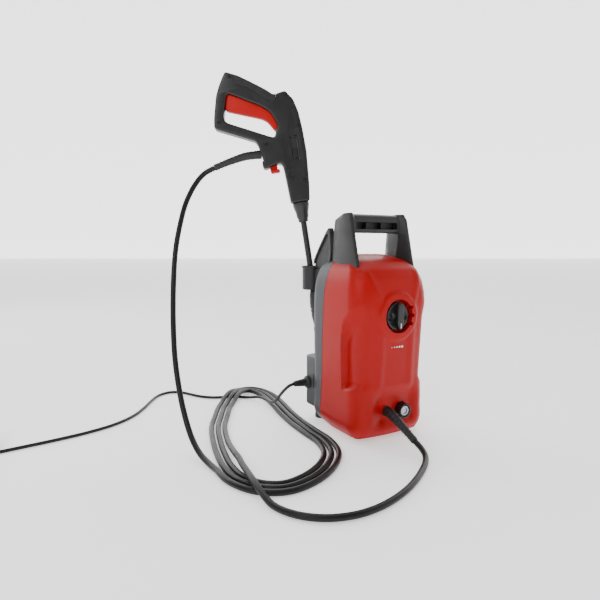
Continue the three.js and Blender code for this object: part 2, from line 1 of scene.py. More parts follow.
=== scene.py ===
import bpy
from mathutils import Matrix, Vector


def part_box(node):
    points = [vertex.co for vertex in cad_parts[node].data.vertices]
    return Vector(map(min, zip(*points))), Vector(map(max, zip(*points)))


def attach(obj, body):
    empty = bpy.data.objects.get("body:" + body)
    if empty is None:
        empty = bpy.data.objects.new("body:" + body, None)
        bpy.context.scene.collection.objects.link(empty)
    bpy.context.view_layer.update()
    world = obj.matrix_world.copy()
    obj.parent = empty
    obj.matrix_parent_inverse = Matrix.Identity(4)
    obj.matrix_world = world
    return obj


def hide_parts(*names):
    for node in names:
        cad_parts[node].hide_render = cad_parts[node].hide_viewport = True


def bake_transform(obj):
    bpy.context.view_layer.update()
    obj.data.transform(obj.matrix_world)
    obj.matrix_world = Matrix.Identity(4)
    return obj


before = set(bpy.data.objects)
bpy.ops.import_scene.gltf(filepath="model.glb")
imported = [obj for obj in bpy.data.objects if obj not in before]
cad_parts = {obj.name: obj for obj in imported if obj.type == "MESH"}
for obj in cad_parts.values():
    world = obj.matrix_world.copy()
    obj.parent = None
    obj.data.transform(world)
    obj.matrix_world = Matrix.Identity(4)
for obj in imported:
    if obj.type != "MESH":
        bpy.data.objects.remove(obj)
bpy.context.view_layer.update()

import math

import bmesh
import bpy
import numpy as np
from bpy.props import FloatProperty, IntProperty, PointerProperty
from mathutils import Matrix, Vector

bl_info = {
    "name": "Pressure washer",
    "version": (1, 0, 0),
    "blender": (4, 5, 0),
    "location": "View3D > Sidebar > Washer",
    "description": "Builds the finished surfaces of a compact upright pressure washer",
    "category": "Object",
}

MM = 0.001
WELD = 1e-7  # metres within which two points are one

# The machine's own axes start between its feet: the knob is centred on x 0 and the front feet stand at y -50.
KNOB_LOW, KNOB_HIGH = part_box("switch_knob")
FOOT_LOW, FOOT_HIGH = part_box("foot_front_left")
SHIFT = Vector(((KNOB_LOW.x + KNOB_HIGH.x) / 2, (FOOT_LOW.y + FOOT_HIGH.y) / 2 + 50 * MM, 0.0))
MACHINE = Matrix.Translation(SHIFT) @ Matrix.Scale(MM, 4)

# The gun's frame: x towards its grip, y up the lance, z through its thickness.
YAW, LEAN = math.radians(27), math.radians(8.757)
GRIP_WAY = Vector((-math.cos(YAW), math.sin(YAW), 0))
GUN_X = GRIP_WAY * math.cos(LEAN) - Vector((0, 0, math.sin(LEAN)))
GUN_Y = GRIP_WAY * math.sin(LEAN) + Vector((0, 0, math.cos(LEAN)))
GUN_Z = GUN_X.cross(GUN_Y)
GUN = (MACHINE @ Matrix.Translation((-62, 100, 295.5))
       @ Matrix((GUN_X, GUN_Y, GUN_Z)).transposed().to_4x4())


# ---- Meshes ---------------------------------------------------------------------------
def keep(obj, body="root", nodes=(), material=None):
    """Finishes a piece: material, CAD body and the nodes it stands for."""
    if material is not None:
        obj.data.materials.clear()
        obj.data.materials.append(material)
    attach(obj, body)
    if nodes:
        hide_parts(*nodes)
    return obj


def mesh_object(name, verts, faces, place=MACHINE):
    """A closed mesh from points in millimetres, put into the row frame by its vertices."""
    mesh = bpy.data.meshes.new(name)
    mesh.from_pydata([tuple(map(float, v)) for v in verts], [], [tuple(map(int, f)) for f in faces])
    mesh.transform(place)
    obj = bpy.data.objects.new(name, mesh)
    bpy.context.scene.collection.objects.link(obj)
    return tidy(obj)


def tidy(obj):
    """Welds coincident points and turns every face outwards."""
    bm = bmesh.new()
    bm.from_mesh(obj.data)
    bmesh.ops.remove_doubles(bm, verts=bm.verts, dist=WELD)
    bmesh.ops.dissolve_degenerate(bm, edges=bm.edges, dist=WELD)
    bmesh.ops.recalc_face_normals(bm, faces=bm.faces)
    bm.to_mesh(obj.data)
    bm.free()
    return obj


def smooth(obj, degrees=35):
    """Smooth shading with the edges sharper than the angle kept crisp."""
    obj.data.shade_smooth()
    obj.data.set_sharp_from_angle(angle=math.radians(degrees))
    return obj


def bake(obj):
    """Replaces the object's modifiers or curve with the plain mesh they make."""
    bpy.context.view_layer.update()
    dg = bpy.context.evaluated_depsgraph_get()
    mesh = bpy.data.meshes.new_from_object(obj.evaluated_get(dg), depsgraph=dg)
    name, matrix = obj.name, obj.matrix_world.copy()
    bpy.data.objects.remove(obj)
    mesh.transform(matrix)
    made = bpy.data.objects.new(name, mesh)
    mesh.name = name
    bpy.context.scene.collection.objects.link(made)
    return made


def twin(obj, name):
    """A copy of the object with a mesh of its own."""
    made = obj.copy()
    made.data = obj.data.copy()
    made.name = name
    bpy.context.scene.collection.objects.link(made)
    return made


def combine(obj, others, operation):
    """Adds the other solids to obj, cuts them from it or keeps what they share, and removes them."""
    for other in others:
        mod = obj.modifiers.new("cut", "BOOLEAN")
        mod.operation, mod.solver, mod.object = operation, "MANIFOLD", other
        obj = bake(obj)
        bpy.data.objects.remove(other)
        if not obj.data.polygons:
            raise RuntimeError(f"{obj.name} was cut away")
        require_closed(obj)
    return obj


def require_closed(obj):
    """Stops the script if the mesh isn't one that a solid can be cut from."""
    bm = bmesh.new()
    bm.from_mesh(obj.data)
    loose = sum(1 for e in bm.edges if not e.is_manifold)
    bm.free()
    if loose:
        raise RuntimeError(f"{obj.name} has {loose} open edges")


def bevel(obj, width, segments=3, degrees=30):
    """Rounds the edges sharper than the angle; width in millimetres."""
    mod = obj.modifiers.new("edge", "BEVEL")
    mod.width, mod.segments, mod.limit_method = width * MM, segments, "ANGLE"
    mod.angle_limit = math.radians(degrees)
    mod.harden_normals = False
    return tidy(bake(obj))


def loft(name, rings, place=MACHINE):
    """A closed skin through rings of equal point count."""
    rings = np.array(rings, float)
    count = rings.shape[1]
    verts = rings.reshape(-1, 3)
    base = np.arange(count)
    faces = []
    for k in range(len(rings) - 1):
        a, b = k * count + base, k * count + (base + 1) % count
        faces += np.stack([a, b, b + count, a + count], 1).tolist()
    faces += [base[::-1].tolist(), ((len(rings) - 1) * count + base).tolist()]
    return mesh_object(name, verts, faces, place)


def box(name, x0, x1, y0, y1, z0, z1, place=MACHINE):
    """A plain block between two corners, in millimetres."""
    ring = [(x0, y0), (x1, y0), (x1, y1), (x0, y1)]
    return loft(name, [[(x, y, z) for x, y in ring] for z in (z0, z1)], place)


def lathe(name, profile, centre=(0, 0, 0), axis="z", sides=64, place=MACHINE):
    """A turned solid from (radius, height) pairs, about the named axis: closed by flat ends, or a ring
    where the last pair is the first again."""
    turn = {"z": Matrix.Identity(4), "-y": Matrix.Rotation(math.pi / 2, 4, "X"),
            "y": Matrix.Rotation(-math.pi / 2, 4, "X"), "-x": Matrix.Rotation(-math.pi / 2, 4, "Y")}[axis]
    angles = np.linspace(0, 2 * math.pi, sides, endpoint=False)
    rings = [np.stack([r * np.cos(angles), r * np.sin(angles), np.full(sides, h)], 1)
             for r, h in profile if r > 1e-6]
    verts = np.concatenate(rings)
    base = np.arange(sides)
    faces = []
    for k in range(len(rings) - 1):
        a, b = k * sides + base, k * sides + (base + 1) % sides
        faces += np.stack([a, b, b + sides, a + sides], 1).tolist()
    if profile[0] == profile[-1]:
        a, b = (len(rings) - 1) * sides + base, (len(rings) - 1) * sides + (base + 1) % sides
        faces += np.stack([a, b, (base + 1) % sides, base], 1).tolist()
    else:
        faces += [base[::-1].tolist(), ((len(rings) - 1) * sides + base).tolist()]
    return mesh_object(name, verts, faces, place @ Matrix.Translation(centre) @ turn)


def spline(points, spacing, closed=False, tension=0.5):
    """Points along a smooth curve through the given ones, about one spacing apart."""
    p = np.array(points, float)
    n = len(p)
    spans = n if closed else n - 1
    fine = []
    for i in range(spans):
        if closed:
            a, b, c, d = (p[(i + k - 1) % n] for k in range(4))
        else:
            b, c = p[i], p[i + 1]
            a = p[i - 1] if i else 2 * b - c
            d = p[i + 2] if i + 2 < n else 2 * c - b
        # Centripetal spacing keeps the curve from bulging between uneven points.
        t0 = 0.0
        t1 = t0 + max(np.linalg.norm(b - a), 1e-9) ** tension
        t2 = t1 + max(np.linalg.norm(c - b), 1e-9) ** tension
        t3 = t2 + max(np.linalg.norm(d - c), 1e-9) ** tension
        t = np.linspace(t1, t2, 24, endpoint=False)[:, None]
        ab = (t1 - t) / (t1 - t0) * a + (t - t0) / (t1 - t0) * b
        bc = (t2 - t) / (t2 - t1) * b + (t - t1) / (t2 - t1) * c
        cd = (t3 - t) / (t3 - t2) * c + (t - t2) / (t3 - t2) * d
        abc = (t2 - t) / (t2 - t0) * ab + (t - t0) / (t2 - t0) * bc
        bcd = (t3 - t) / (t3 - t1) * bc + (t - t1) / (t3 - t1) * cd
        fine.append((t2 - t) / (t2 - t1) * abc + (t - t1) / (t2 - t1) * bcd)
    fine = np.concatenate(fine + [p[:1] if closed else p[-1:]])
    gone = np.concatenate([[0], np.cumsum(np.linalg.norm(np.diff(fine, axis=0), axis=1))])
    steps = max(8, round(gone[-1] / spacing))
    at = np.linspace(0, gone[-1], steps + 1)[:-1 if closed else None]
    return np.stack([np.interp(at, gone, fine[:, k]) for k in range(fine.shape[1])], 1)


def tube(name, points, radius, sides=20, place=MACHINE):
    """A closed round tube along points; radius is one number or one for each point."""
    p = np.array(points, float)
    r = np.broadcast_to(np.array(radius, float), (len(p),))
    way = np.gradient(p, axis=0)
    way /= np.linalg.norm(way, axis=1)[:, None]
    side = np.cross(way[0], (0, 0, 1.0) if abs(way[0][2]) < 0.9 else (1.0, 0, 0))
    rings = []
    angles = np.linspace(0, 2 * math.pi, sides, endpoint=False)
    for k in range(len(p)):
        side = side - way[k] * np.dot(side, way[k])
        side /= np.linalg.norm(side)
        up = np.cross(way[k], side)
        rings.append(p[k] + r[k] * (np.cos(angles)[:, None] * side + np.sin(angles)[:, None] * up))
    return loft(name, rings, place)


def rounded_plate(name, outlines, z0, z1, edge, place=MACHINE, segments=4, grow=0.0):
    """A plate with rounded edges, cut to closed (x, y) outlines, the later ones being holes."""
    curve = bpy.data.curves.new(name, "CURVE")
    curve.dimensions, curve.fill_mode = "2D", "BOTH"
    half = (z1 - z0) / 2
    curve.extrude, curve.bevel_depth, curve.bevel_resolution = half - edge, edge, segments
    curve.offset = grow - edge
    for outline in outlines:
        line = curve.splines.new("POLY")
        line.points.add(len(outline) - 1)
        for point, (x, y) in zip(line.points, outline):
            point.co = (x, y, 0, 1)
        line.use_cyclic_u = True
    obj = bpy.data.objects.new(name, curve)
    bpy.context.scene.collection.objects.link(obj)
    obj.matrix_world = Matrix.Translation((0, 0, (z0 + z1) / 2))
    made = bake(obj)
    made.data.transform(place)
    return tidy(made)


def rounded_rectangle(x0, x1, y0, y1, r, steps=6):
    """A closed outline with round corners, counter-clockwise."""
    points = []
    centres = ((x1 - r, y1 - r), (x0 + r, y1 - r), (x0 + r, y0 + r), (x1 - r, y0 + r))
    for start, (cx, cy) in zip((0, 90, 180, 270), centres):
        for i in range(steps + 1):
            angle = math.radians(start + 90 * i / steps)
            points.append((cx + r * math.cos(angle), cy + r * math.sin(angle)))
    return points


def fluted(radius, depth, power, flutes=12, steps=144):
    """A round outline with grip flutes of the given depth."""
    points = []
    for i in range(steps):
        a = 2 * math.pi * i / steps
        r = radius - depth * max(0.0, math.cos(flutes * a)) ** power
        points.append((r * math.cos(a), r * math.sin(a)))
    return points


# Turns a plate drawn in (x, height) so that its thickness runs along y, or one in (y, height) along x.
STAND_Y = Matrix(((1, 0, 0, 0), (0, 0, 1, 0), (0, 1, 0, 0), (0, 0, 0, 1)))
STAND_X = Matrix(((0, 0, 1, 0), (1, 0, 0, 0), (0, 1, 0, 0), (0, 0, 0, 1)))
FACING_Y, FACING_X = MACHINE @ STAND_Y, MACHINE @ STAND_X
# Turns a lathe's axis up the lance, or out along the gun's hose inlet.
UP_LANCE = GUN @ Matrix(((1, 0, 0, 0), (0, 0, 1, 0), (0, -1, 0, 0), (0, 0, 0, 1)))
OUT_INLET = GUN @ STAND_X
PART = Matrix.Scale(MM, 4)  # a part to be repeated is drawn in millimetres about its own centre


def ease(value, start, end):
    """0 before start, 1 after end, and a smooth step between."""
    t = np.clip((value - start) / (end - start), 0, 1)
    return t * t * (3 - 2 * t)


# ---- Geometry Nodes -------------------------------------------------------------------
def repeated(name, part, places, material, turn=(0.0, 0.0, 0.0)):
    """One mesh that repeats part at each place in the row frame, made by a node tree of named inputs."""
    cloud = bpy.data.meshes.new(name)
    cloud.from_pydata([tuple(p) for p in places], [], [])
    holder = bpy.data.objects.new(name, cloud)
    bpy.context.scene.collection.objects.link(holder)
    tree = bpy.data.node_groups.new(name + "_nodes", "GeometryNodeTree")
    tree.interface.new_socket("Geometry", in_out="OUTPUT", socket_type="NodeSocketGeometry")
    inputs = {}
    kinds = {"Geometry": "Geometry", "Part": "Object", "Turn": "Rotation", "Material": "Material"}
    for label, kind in kinds.items():
        inputs[label] = tree.interface.new_socket(label, in_out="INPUT", socket_type="NodeSocket" + kind)
    add = tree.nodes.new
    start, end = add("NodeGroupInput"), add("NodeGroupOutput")
    info, place = add("GeometryNodeObjectInfo"), add("GeometryNodeInstanceOnPoints")
    real, paint = add("GeometryNodeRealizeInstances"), add("GeometryNodeSetMaterial")
    link = tree.links.new
    link(start.outputs["Part"], info.inputs["Object"])
    link(start.outputs["Geometry"], place.inputs["Points"])
    link(info.outputs["Geometry"], place.inputs["Instance"])
    link(start.outputs["Turn"], place.inputs["Rotation"])
    link(place.outputs["Instances"], real.inputs["Geometry"])
    link(real.outputs["Geometry"], paint.inputs["Geometry"])
    link(start.outputs["Material"], paint.inputs["Material"])
    link(paint.outputs["Geometry"], end.inputs["Geometry"])
    mod = holder.modifiers.new("repeat", "NODES")
    mod.node_group = tree
    mod[inputs["Part"].identifier] = part
    mod[inputs["Turn"].identifier] = turn
    mod[inputs["Material"].identifier] = material
    made = bake(holder)
    bpy.data.objects.remove(part)
    return tidy(made)


# ---- Materials ------------------------------------------------------------------------
def linear(code):
    """The linear colour of an sRGB hex code."""
    parts = [int(code[i:i + 2], 16) / 255 for i in (1, 3, 5)]
    return tuple(c / 12.92 if c <= 0.04045 else ((c + 0.055) / 1.055) ** 2.4 for c in parts) + (1.0,)


def node(tree, kind, **values):
    """Adds one shader node and sets its properties, or its inputs by name."""
    made = tree.nodes.new(kind)
    for key, value in values.items():
        if hasattr(made, key):
            setattr(made, key, value)
        else:
            made.inputs[key.replace("_", " ")].default_value = value
    return made


def surface(name, code, roughness, grain, depth, spread=0.05, metallic=0.0, gloss=0.5, glow=0.0):
    """A worked surface: a fine grain of grain millimetres and a slow drift of its polish and tone.
    depth is the height of the grain in millimetres, gloss the strength of its sheen, and glow
    the light it gives off."""
    material = bpy.data.materials.new(name)
    material.use_nodes = True
    tree = material.node_tree
    shader = tree.nodes["Principled BSDF"]
    shader.inputs["Metallic"].default_value = metallic
    shader.inputs["Emission Color"].default_value = (1, 1, 1, 1)
    shader.inputs["Emission Strength"].default_value = glow
    shader.inputs["Specular IOR Level"].default_value = gloss
    link = tree.links.new
    where = node(tree, "ShaderNodeTexCoord")
    # The mould's spark-eroded or drawn grain.
    fine = node(tree, "ShaderNodeTexNoise", Scale=1 / (grain * MM), Detail=2.0, Roughness=0.6)
    link(where.outputs["Object"], fine.inputs["Vector"])
    bump = node(tree, "ShaderNodeBump", Strength=0.6, Distance=depth * MM)
    link(fine.outputs["Fac"], bump.inputs["Height"])
    link(bump.outputs["Normal"], shader.inputs["Normal"])
    # Handling and cooling marks a few centimetres across.
    slow = node(tree, "ShaderNodeTexNoise", Scale=1 / (35 * MM), Detail=3.0, Roughness=0.55)
    link(where.outputs["Object"], slow.inputs["Vector"])
    polish = node(tree, "ShaderNodeMapRange")
    polish.inputs["From Min"].default_value, polish.inputs["From Max"].default_value = 0.3, 0.7
    polish.inputs["To Min"].default_value = max(0.03, roughness - spread)
    polish.inputs["To Max"].default_value = min(1.0, roughness + spread)
    link(slow.outputs["Fac"], polish.inputs["Value"])
    link(polish.outputs["Result"], shader.inputs["Roughness"])
    tone = node(tree, "ShaderNodeMix", data_type="RGBA")
    base = linear(code)
    socket = {s.identifier: s for s in [*tone.inputs, *tone.outputs]}
    socket["A_Color"].default_value = tuple(c * 0.93 for c in base[:3]) + (1.0,)
    socket["B_Color"].default_value = tuple(min(1.0, c * 1.06) for c in base[:3]) + (1.0,)
    link(slow.outputs["Fac"], socket["Factor_Float"])
    link(socket["Result_Color"], shader.inputs["Base Color"])
    return material


PAINTS = {}


def make_materials():
    """Every finish on the machine, by its short name."""
    return {
        # Injection-moulded ABS, satin, with the machine's signal colour moulded through.
        "red": surface("red_abs_satin_moulded", "#a60000", 0.42, 0.5, 0.012, 0.05, gloss=0.22),
        # Glass-filled polypropylene with a spark-eroded texture.
        "grey": surface("grey_polypropylene_textured", "#3c3d41", 0.5, 0.45, 0.03, 0.05),
        # Polypropylene again, for the handle and the gun's holder.
        "black": surface("black_polypropylene_textured", "#1c1c1e", 0.48, 0.45, 0.03, 0.06),
        # Glass-filled nylon with a finer, shinier mould face: the gun, the lance, the knob and the nut.
        "black_fine": surface("black_nylon_satin_moulded", "#161618", 0.36, 0.5, 0.012, 0.05),
        # Nylon dyed through, for what the hand works.
        "signal": surface("signal_red_nylon_moulded", "#b40400", 0.42, 0.5, 0.01, 0.04, gloss=0.25),
        # Soft elastomer, for the grip's insert, the feet and the cords' sleeves.
        "rubber": surface("black_tpe_overmould", "#151517", 0.56, 0.35, 0.03, 0.05),
        # Plasticised PVC over braid, and the thinner sheath of the flex.
        "hose": surface("black_pvc_hose_extruded", "#0e0e10", 0.42, 0.6, 0.015, 0.05, gloss=0.3),
        "lead": surface("black_pvc_flex_extruded", "#111113", 0.46, 0.5, 0.012, 0.05, gloss=0.3),
        # Metals as they leave the lathe, the plating bath and the die.
        "steel": surface("steel_turned", "#b9bcc0", 0.28, 0.3, 0.01, 0.06, metallic=1.0),
        "zinc": surface("zinc_plated_screws", "#c4c6c8", 0.34, 0.3, 0.01, 0.05, metallic=1.0),
        "aluminium": surface("aluminium_die_cast", "#b4b6ba", 0.45, 0.8, 0.04, 0.08, metallic=1.0),
        # The terminal block's moulding and the ink of the marks.
        "cream": surface("cream_phenolic_moulded", "#d6d2c6", 0.55, 0.4, 0.02, 0.04),
        "white_print": surface("white_pad_printed_ink", "#e9e9e6", 0.5, 0.4, 0.004, 0.04),
        # The studio: a pale floor and a sheet of paper lit from behind.
        "floor": surface("pale_studio_floor", "#fafafa", 0.8, 1.5, 0.01, 0.03, glow=0.62),
        "backdrop": surface("lit_paper_backdrop", "#ffffff", 0.9, 1.5, 0.01, 0.03, glow=1.9),
    }


def paint():
    """The scene's materials, made once."""
    if "red" not in PAINTS:
        PAINTS.update(make_materials())
    return PAINTS


# ---- Casing ---------------------------------------------------------------------------
# Height, front y, rear y, half width and corner radius, in millimetres.
LEVELS = np.array([
    [10, -79, 66, 76, 18], [20, -84, 70, 82, 24], [60, -88, 72, 84, 28], [110, -88, 73, 84, 30],
    [160, -90, 74, 86, 32], [215, -93, 74, 87, 33], [255, -93, 73, 87, 32], [285, -89, 71, 85, 30],
    [308, -81, 67, 80, 27], [325, -68, 60, 72, 24], [337, -47, 50, 60, 22], [345, -16, 34, 44, 18],
], float)
SEAM_Y, SEAM_SLOPE = 34, 0.07
KNOB_Z, POCKET_R = 235, 31
TERMINAL_BOX = (76, 110, 16, 30, 134)  # half width, rear y, corner radius, low and high
OUTLET_X, OUTLET_Z = -11, 55
INLET_X, INLET_Z = 24, 53
GLAND_Y, GLAND_Z = 92, 78
CUP_X, CUP_Y = -62, 100
CASE_SCREWS = [(-52, 60), (52, 60), (-50, 112), (50, 112)]


def level_at(z):
    """The casing's section sizes at one height, on a smooth curve through the levels."""
    heights = LEVELS[:, 0]
    out = []
    for column in range(1, 5):
        v = LEVELS[:, column]
        slope = np.gradient(v, heights)
        k = int(np.clip(np.searchsorted(heights, z) - 1, 0, len(heights) - 2))
        h = heights[k + 1] - heights[k]
        t = (z - heights[k]) / h
        out.append((2 * t**3 - 3 * t**2 + 1) * v[k] + (t**3 - 2 * t**2 + t) * h * slope[k]
                   + (3 * t**2 - 2 * t**3) * v[k + 1] + (t**3 - t**2) * h * slope[k + 1])
    return out


def casing_ring(z, grow, arc, straight):
    """One ring of the casing: a rounded rectangle with a crowned front, counter-clockwise."""
    front, rear, half, r = level_at(z)
    ring = []
    corners = [(half - r, rear - r, 0), (r - half, rear - r, 90), (r - half, front + r, 180),
               (half - r, front + r, 270)]
    for n, (cx, cy, start) in enumerate(corners):
        for i in range(arc):
            a = math.radians(start + 90 * i / (arc - 1))
            ring.append((cx + (r + grow) * math.cos(a), cy + (r + grow) * math.sin(a)))
        nx, ny, nstart = corners[(n + 1) % 4]
        a, b = math.radians(start + 90), math.radians(nstart)
        p = np.array((cx + (r + grow) * math.cos(a), cy + (r + grow) * math.sin(a)))
        q = np.array((nx + (r + grow) * math.cos(b), ny + (r + grow) * math.sin(b)))
        count = straight[n]
        ring += [tuple(p + (q - p) * i / (count + 1)) for i in range(1, count + 1)]
    ring = np.array(ring)
    x, y = ring[:, 0], ring[:, 1]
    y = y - np.where(y < front + r, 7 * np.maximum(0, 1 - (x / half) ** 2), 0)
    rise = max(0.0, 1 - (z - 10) / 50) * 0.15
    return np.stack([x, y, z + rise * np.maximum(0, y)], 1)


def sculpt(p):
    """The front's modelling: a raised round boss at the knob, ridges from the handle's feet down past it to
    a flared skirt, a corner scoop outside each ridge that ends at a sharp step, and a soft dish at the
    connections."""
    x, y, z = p[..., 0], p[..., 1], p[..., 2]
    ax = np.abs(x)
    front = ease(y, -48, -62)
    boss = 3.6 * (1 - ease(np.hypot(x, z - KNOB_Z), 41.0, 48.5))
    ridge_x = np.interp(z, [90, 120, 200, 262, 320, 345], [39, 36, 35, 37, 62, 70])
    ridge = 2.2 * np.exp(-(((ax - ridge_x) / 8.0) ** 2)) * ease(z, 92, 112) * (1 - ease(z, 312, 330))
    raised = np.maximum(boss, ridge) * front
    # How far round the corner a point is, from the ridge (0) to the step on the side (1).
    round_it = 0.55 * np.clip((ax - ridge_x) / 46, 0, 1) + 0.45 * np.clip((y + 88) / 42, 0, 1)
    top = 196 + 56 * np.sqrt(np.clip(1 - round_it ** 2, 0, 1))
    low = 104 + 10 * (1 - round_it)
    tall = ease(z, low - 10, low + 6) * (1 - ease(z, top - 22, top + 16))
    scoop = 12.5 * tall * ease(round_it, 0.02, 0.92) * ease(y, -42.0, -45.2) * (ax > ridge_x)
    corner = ease(ax, 46, 80)
    dish = 10.5 * ease(x, -54, -24) * (1 - ease(x, 42, 62)) * ease(z, 20, 44) * (1 - ease(z, 70, 108)) * front
    out = p.copy()
    out[..., 0] -= np.sign(x) * scoop * corner
    out[..., 1] += scoop * (1 - corner) - raised + dish
    return out


def seam_block(name, front, gap):
    """Everything in front of, or behind, the casing's leaning joint line."""
    sign = -1 if front else 1
    near = [(z, SEAM_Y - SEAM_SLOPE * z + sign * gap) for z in (-50, 450)]
    y0, y1 = near[0][1], near[1][1]
    far = 300 * sign
    rings = [[(-200, y0, -50), (200, y0, -50), (200, far, -50), (-200, far, -50)],
             [(-200, y1, 450), (200, y1, 450), (200, far, 450), (-200, far, 450)]]
    return loft(name, rings)


def casing_blank(name, grow, fine):
    """The casing's whole body: sculpted and crowned when fine, a plain block of it otherwise."""
    arc, straight, step = (20, (30, 34, 64, 34), 2.0) if fine else (8, (3, 3, 6, 3), 8.0)
    low, high = LEVELS[0, 0], LEVELS[-1, 0]
    heights = np.linspace(low - grow, high + grow, round((high - low) / step))
    rings = [casing_ring(float(np.clip(z, low, high)), grow, arc, straight) for z in heights]
    for ring, z in zip(rings, heights):
        ring[:, 2] += z - np.clip(z, low, high)
    if fine:
        rings = [sculpt(r) for r in rings]
        crown = rings[-1].copy()
        centre = crown.mean(0)
        for k in range(1, 7):
            a = k * math.pi / 2 / 7
            ring = centre + (crown - centre) * math.cos(a)
            ring[:, 2] = crown[:, 2] + 2.2 * math.sin(a)
            rings.append(ring)
    return loft(name, rings)


def rear_box_blank(name, half, rear, corner, low, high):
    """The terminal box on the back, with rounded edges."""
    return rounded_plate(name, [rounded_rectangle(-half, half, 30, rear, corner, 10)], low, high, 3.5)


def rear_box_hollow(name, wall, half, rear, corner, low, high):
    """The room inside the terminal box."""
    outline = rounded_rectangle(wall - half, half - wall, 0, rear - wall, corner - wall, 10)
    return loft(name, [[(x, max(y, 50), z) for x, y in outline] for z in (low + wall, high - wall)])


class WASHER_OT_casing(bpy.types.Operator):
    """Builds the red front and grey rear shells, with the knob's pocket, the water's holes and the vents"""
    bl_idname = "washer.casing"
    bl_label = "Casing"

    def execute(self, context):
        m = paint()
        w = context.scene.washer_casing.wall
        gap = context.scene.washer_casing.seam_gap / 2
        whole = combine(casing_blank("front_casing", 0, True), [rear_box_blank("rear", *TERMINAL_BOX)], "UNION")
        hollow = rear_box_hollow("hollow", w, *TERMINAL_BOX)
        cavity = combine(casing_blank("cavity", -w, False), [hollow], "UNION")
        pocket_wall = lathe("pw", [(POCKET_R + w, 40), (POCKET_R + w, -40)], (0, -126, KNOB_Z), "-y", 64)
        solid = [pocket_wall, box("rw", -55, 66, -130, -68, 16, 112)]
        # Behind the scoops the wall follows the modelling inwards.
        for sign in (-1, 1):
            solid.append(box("sw", *sorted((sign * 66, sign * 120)), -130, -36, 86, 272))
            solid.append(box("sx", *sorted((sign * 24, sign * 120)), -130, -66, 86, 272))
        cavity = combine(cavity, solid, "DIFFERENCE")
        cuts = [cavity, lathe("p", [(POCKET_R, -40), (POCKET_R, 40)], (0, -129, KNOB_Z), "-y", 96)]
        # The inlet nut's well, then the holes for the outlet, the inlet and the switch.
        cuts += [lathe("r", [(15.2, 0), (15.2, 56)], (INLET_X, -73.6, INLET_Z), "-y"),
                 lathe("h1", [(9.6, 0), (9.6, 60)], (OUTLET_X, -40, OUTLET_Z), "-y"),
                 lathe("h2", [(9.6, 0), (9.6, 60)], (INLET_X, -40, INLET_Z), "-y"),
                 lathe("h3", [(6, 0), (6, 40)], (0, -60, KNOB_Z), "-y")]
        # Click marks cut into the pocket's right rim.
        for i, turn in enumerate((-28, 0, 28)):
            a = math.radians(turn)
            cx, cz = (POCKET_R + 1) * math.cos(a), KNOB_Z + (POCKET_R + 1) * math.sin(a)
            cuts.append(box(f"n{i}", cx - 4, cx + 4, -125, -92, cz - 3, cz + 3))
        casing = combine(whole, cuts, "DIFFERENCE")
        rear = twin(casing, "rear_casing")
        front = combine(casing, [seam_block("f", True, gap)], "INTERSECT")
        rear = combine(rear, [seam_block("b", False, gap)], "INTERSECT")
        # Ventilation slots: three each side beside the gland and a bank across the back.
        slots = context.scene.washer_casing.slots
        part = rounded_plate("slot", [rounded_rectangle(-15, 15, -1.3, 1.3, 1.29)], -8, 8, 0.3, PART)
        at = [SHIFT + Vector((s * 76, 58 + 6 * i, 84)) * MM for s in (-1, 1) for i in range(3)]
        side = repeated("side_slots", part, at, m["grey"], (0.0, math.pi / 2, 0.0))
        part = rounded_plate("slot", [rounded_rectangle(-26, 26, -1.6, 1.6, 1.59)], -14, 14, 0.3, PART)
        at = [SHIFT + Vector(((i - (slots - 1) / 2) * 8, 72, 215)) * MM for i in range(slots)]
        back = repeated("back_slots", part, at, m["grey"], (math.pi / 2, math.pi / 2, 0.0))
        holes = [side, back, lathe("g", [(8.5, 0), (8.5, 30)], (-60, GLAND_Y, GLAND_Z), "-x")]
        holes += [lathe("s", [(4.3, 0), (4.3, 30)], (x, 90, z), "y") for x, z in CASE_SCREWS]
        rear = combine(rear, holes, "DIFFERENCE")
        keep(smooth(front, 32), "root", ["front_shell"], m["red"])
        keep(smooth(rear, 32), "root", ["rear_shell"], m["grey"])
        return {"FINISHED"}


class WasherCasing(bpy.types.PropertyGroup):
    wall: FloatProperty(name="Wall", description="Thickness of the shells, mm", default=3.0, min=1.5, max=5)
    seam_gap: FloatProperty(name="Joint line", description="Gap between the shells, mm", default=0.9)
    slots: IntProperty(name="Back slots", description="Number of ventilation slots in the back", default=11)


# ---- Stage ----------------------------------------------------------------------------
CAMERA_AT, CAMERA_AZIMUTH = Vector((-605, -790, 362)), -30
AIM = Vector((-0.1, 0, 0.25))
# Name, place, width in metres and watts of each lamp.
LAMPS = (
    ("key", (-2.0, -1.1, 1.7), 1.1, 24),
    ("fill", (1.6, -1.8, 1.1), 1.4, 7),
    ("top", (0.1, 0.3, 2.4), 1.6, 15),
    ("rim", (-1.2, 2.2, 1.5), 1.2, 16),
)
WORLD_LIGHT = 0.42


class WasherStage(bpy.types.PropertyGroup):
    elevation: FloatProperty(name="Elevation", description="Camera's angle above level, degrees", default=6.16)
    lens: FloatProperty(name="Lens", description="Focal length, mm", default=30.0)


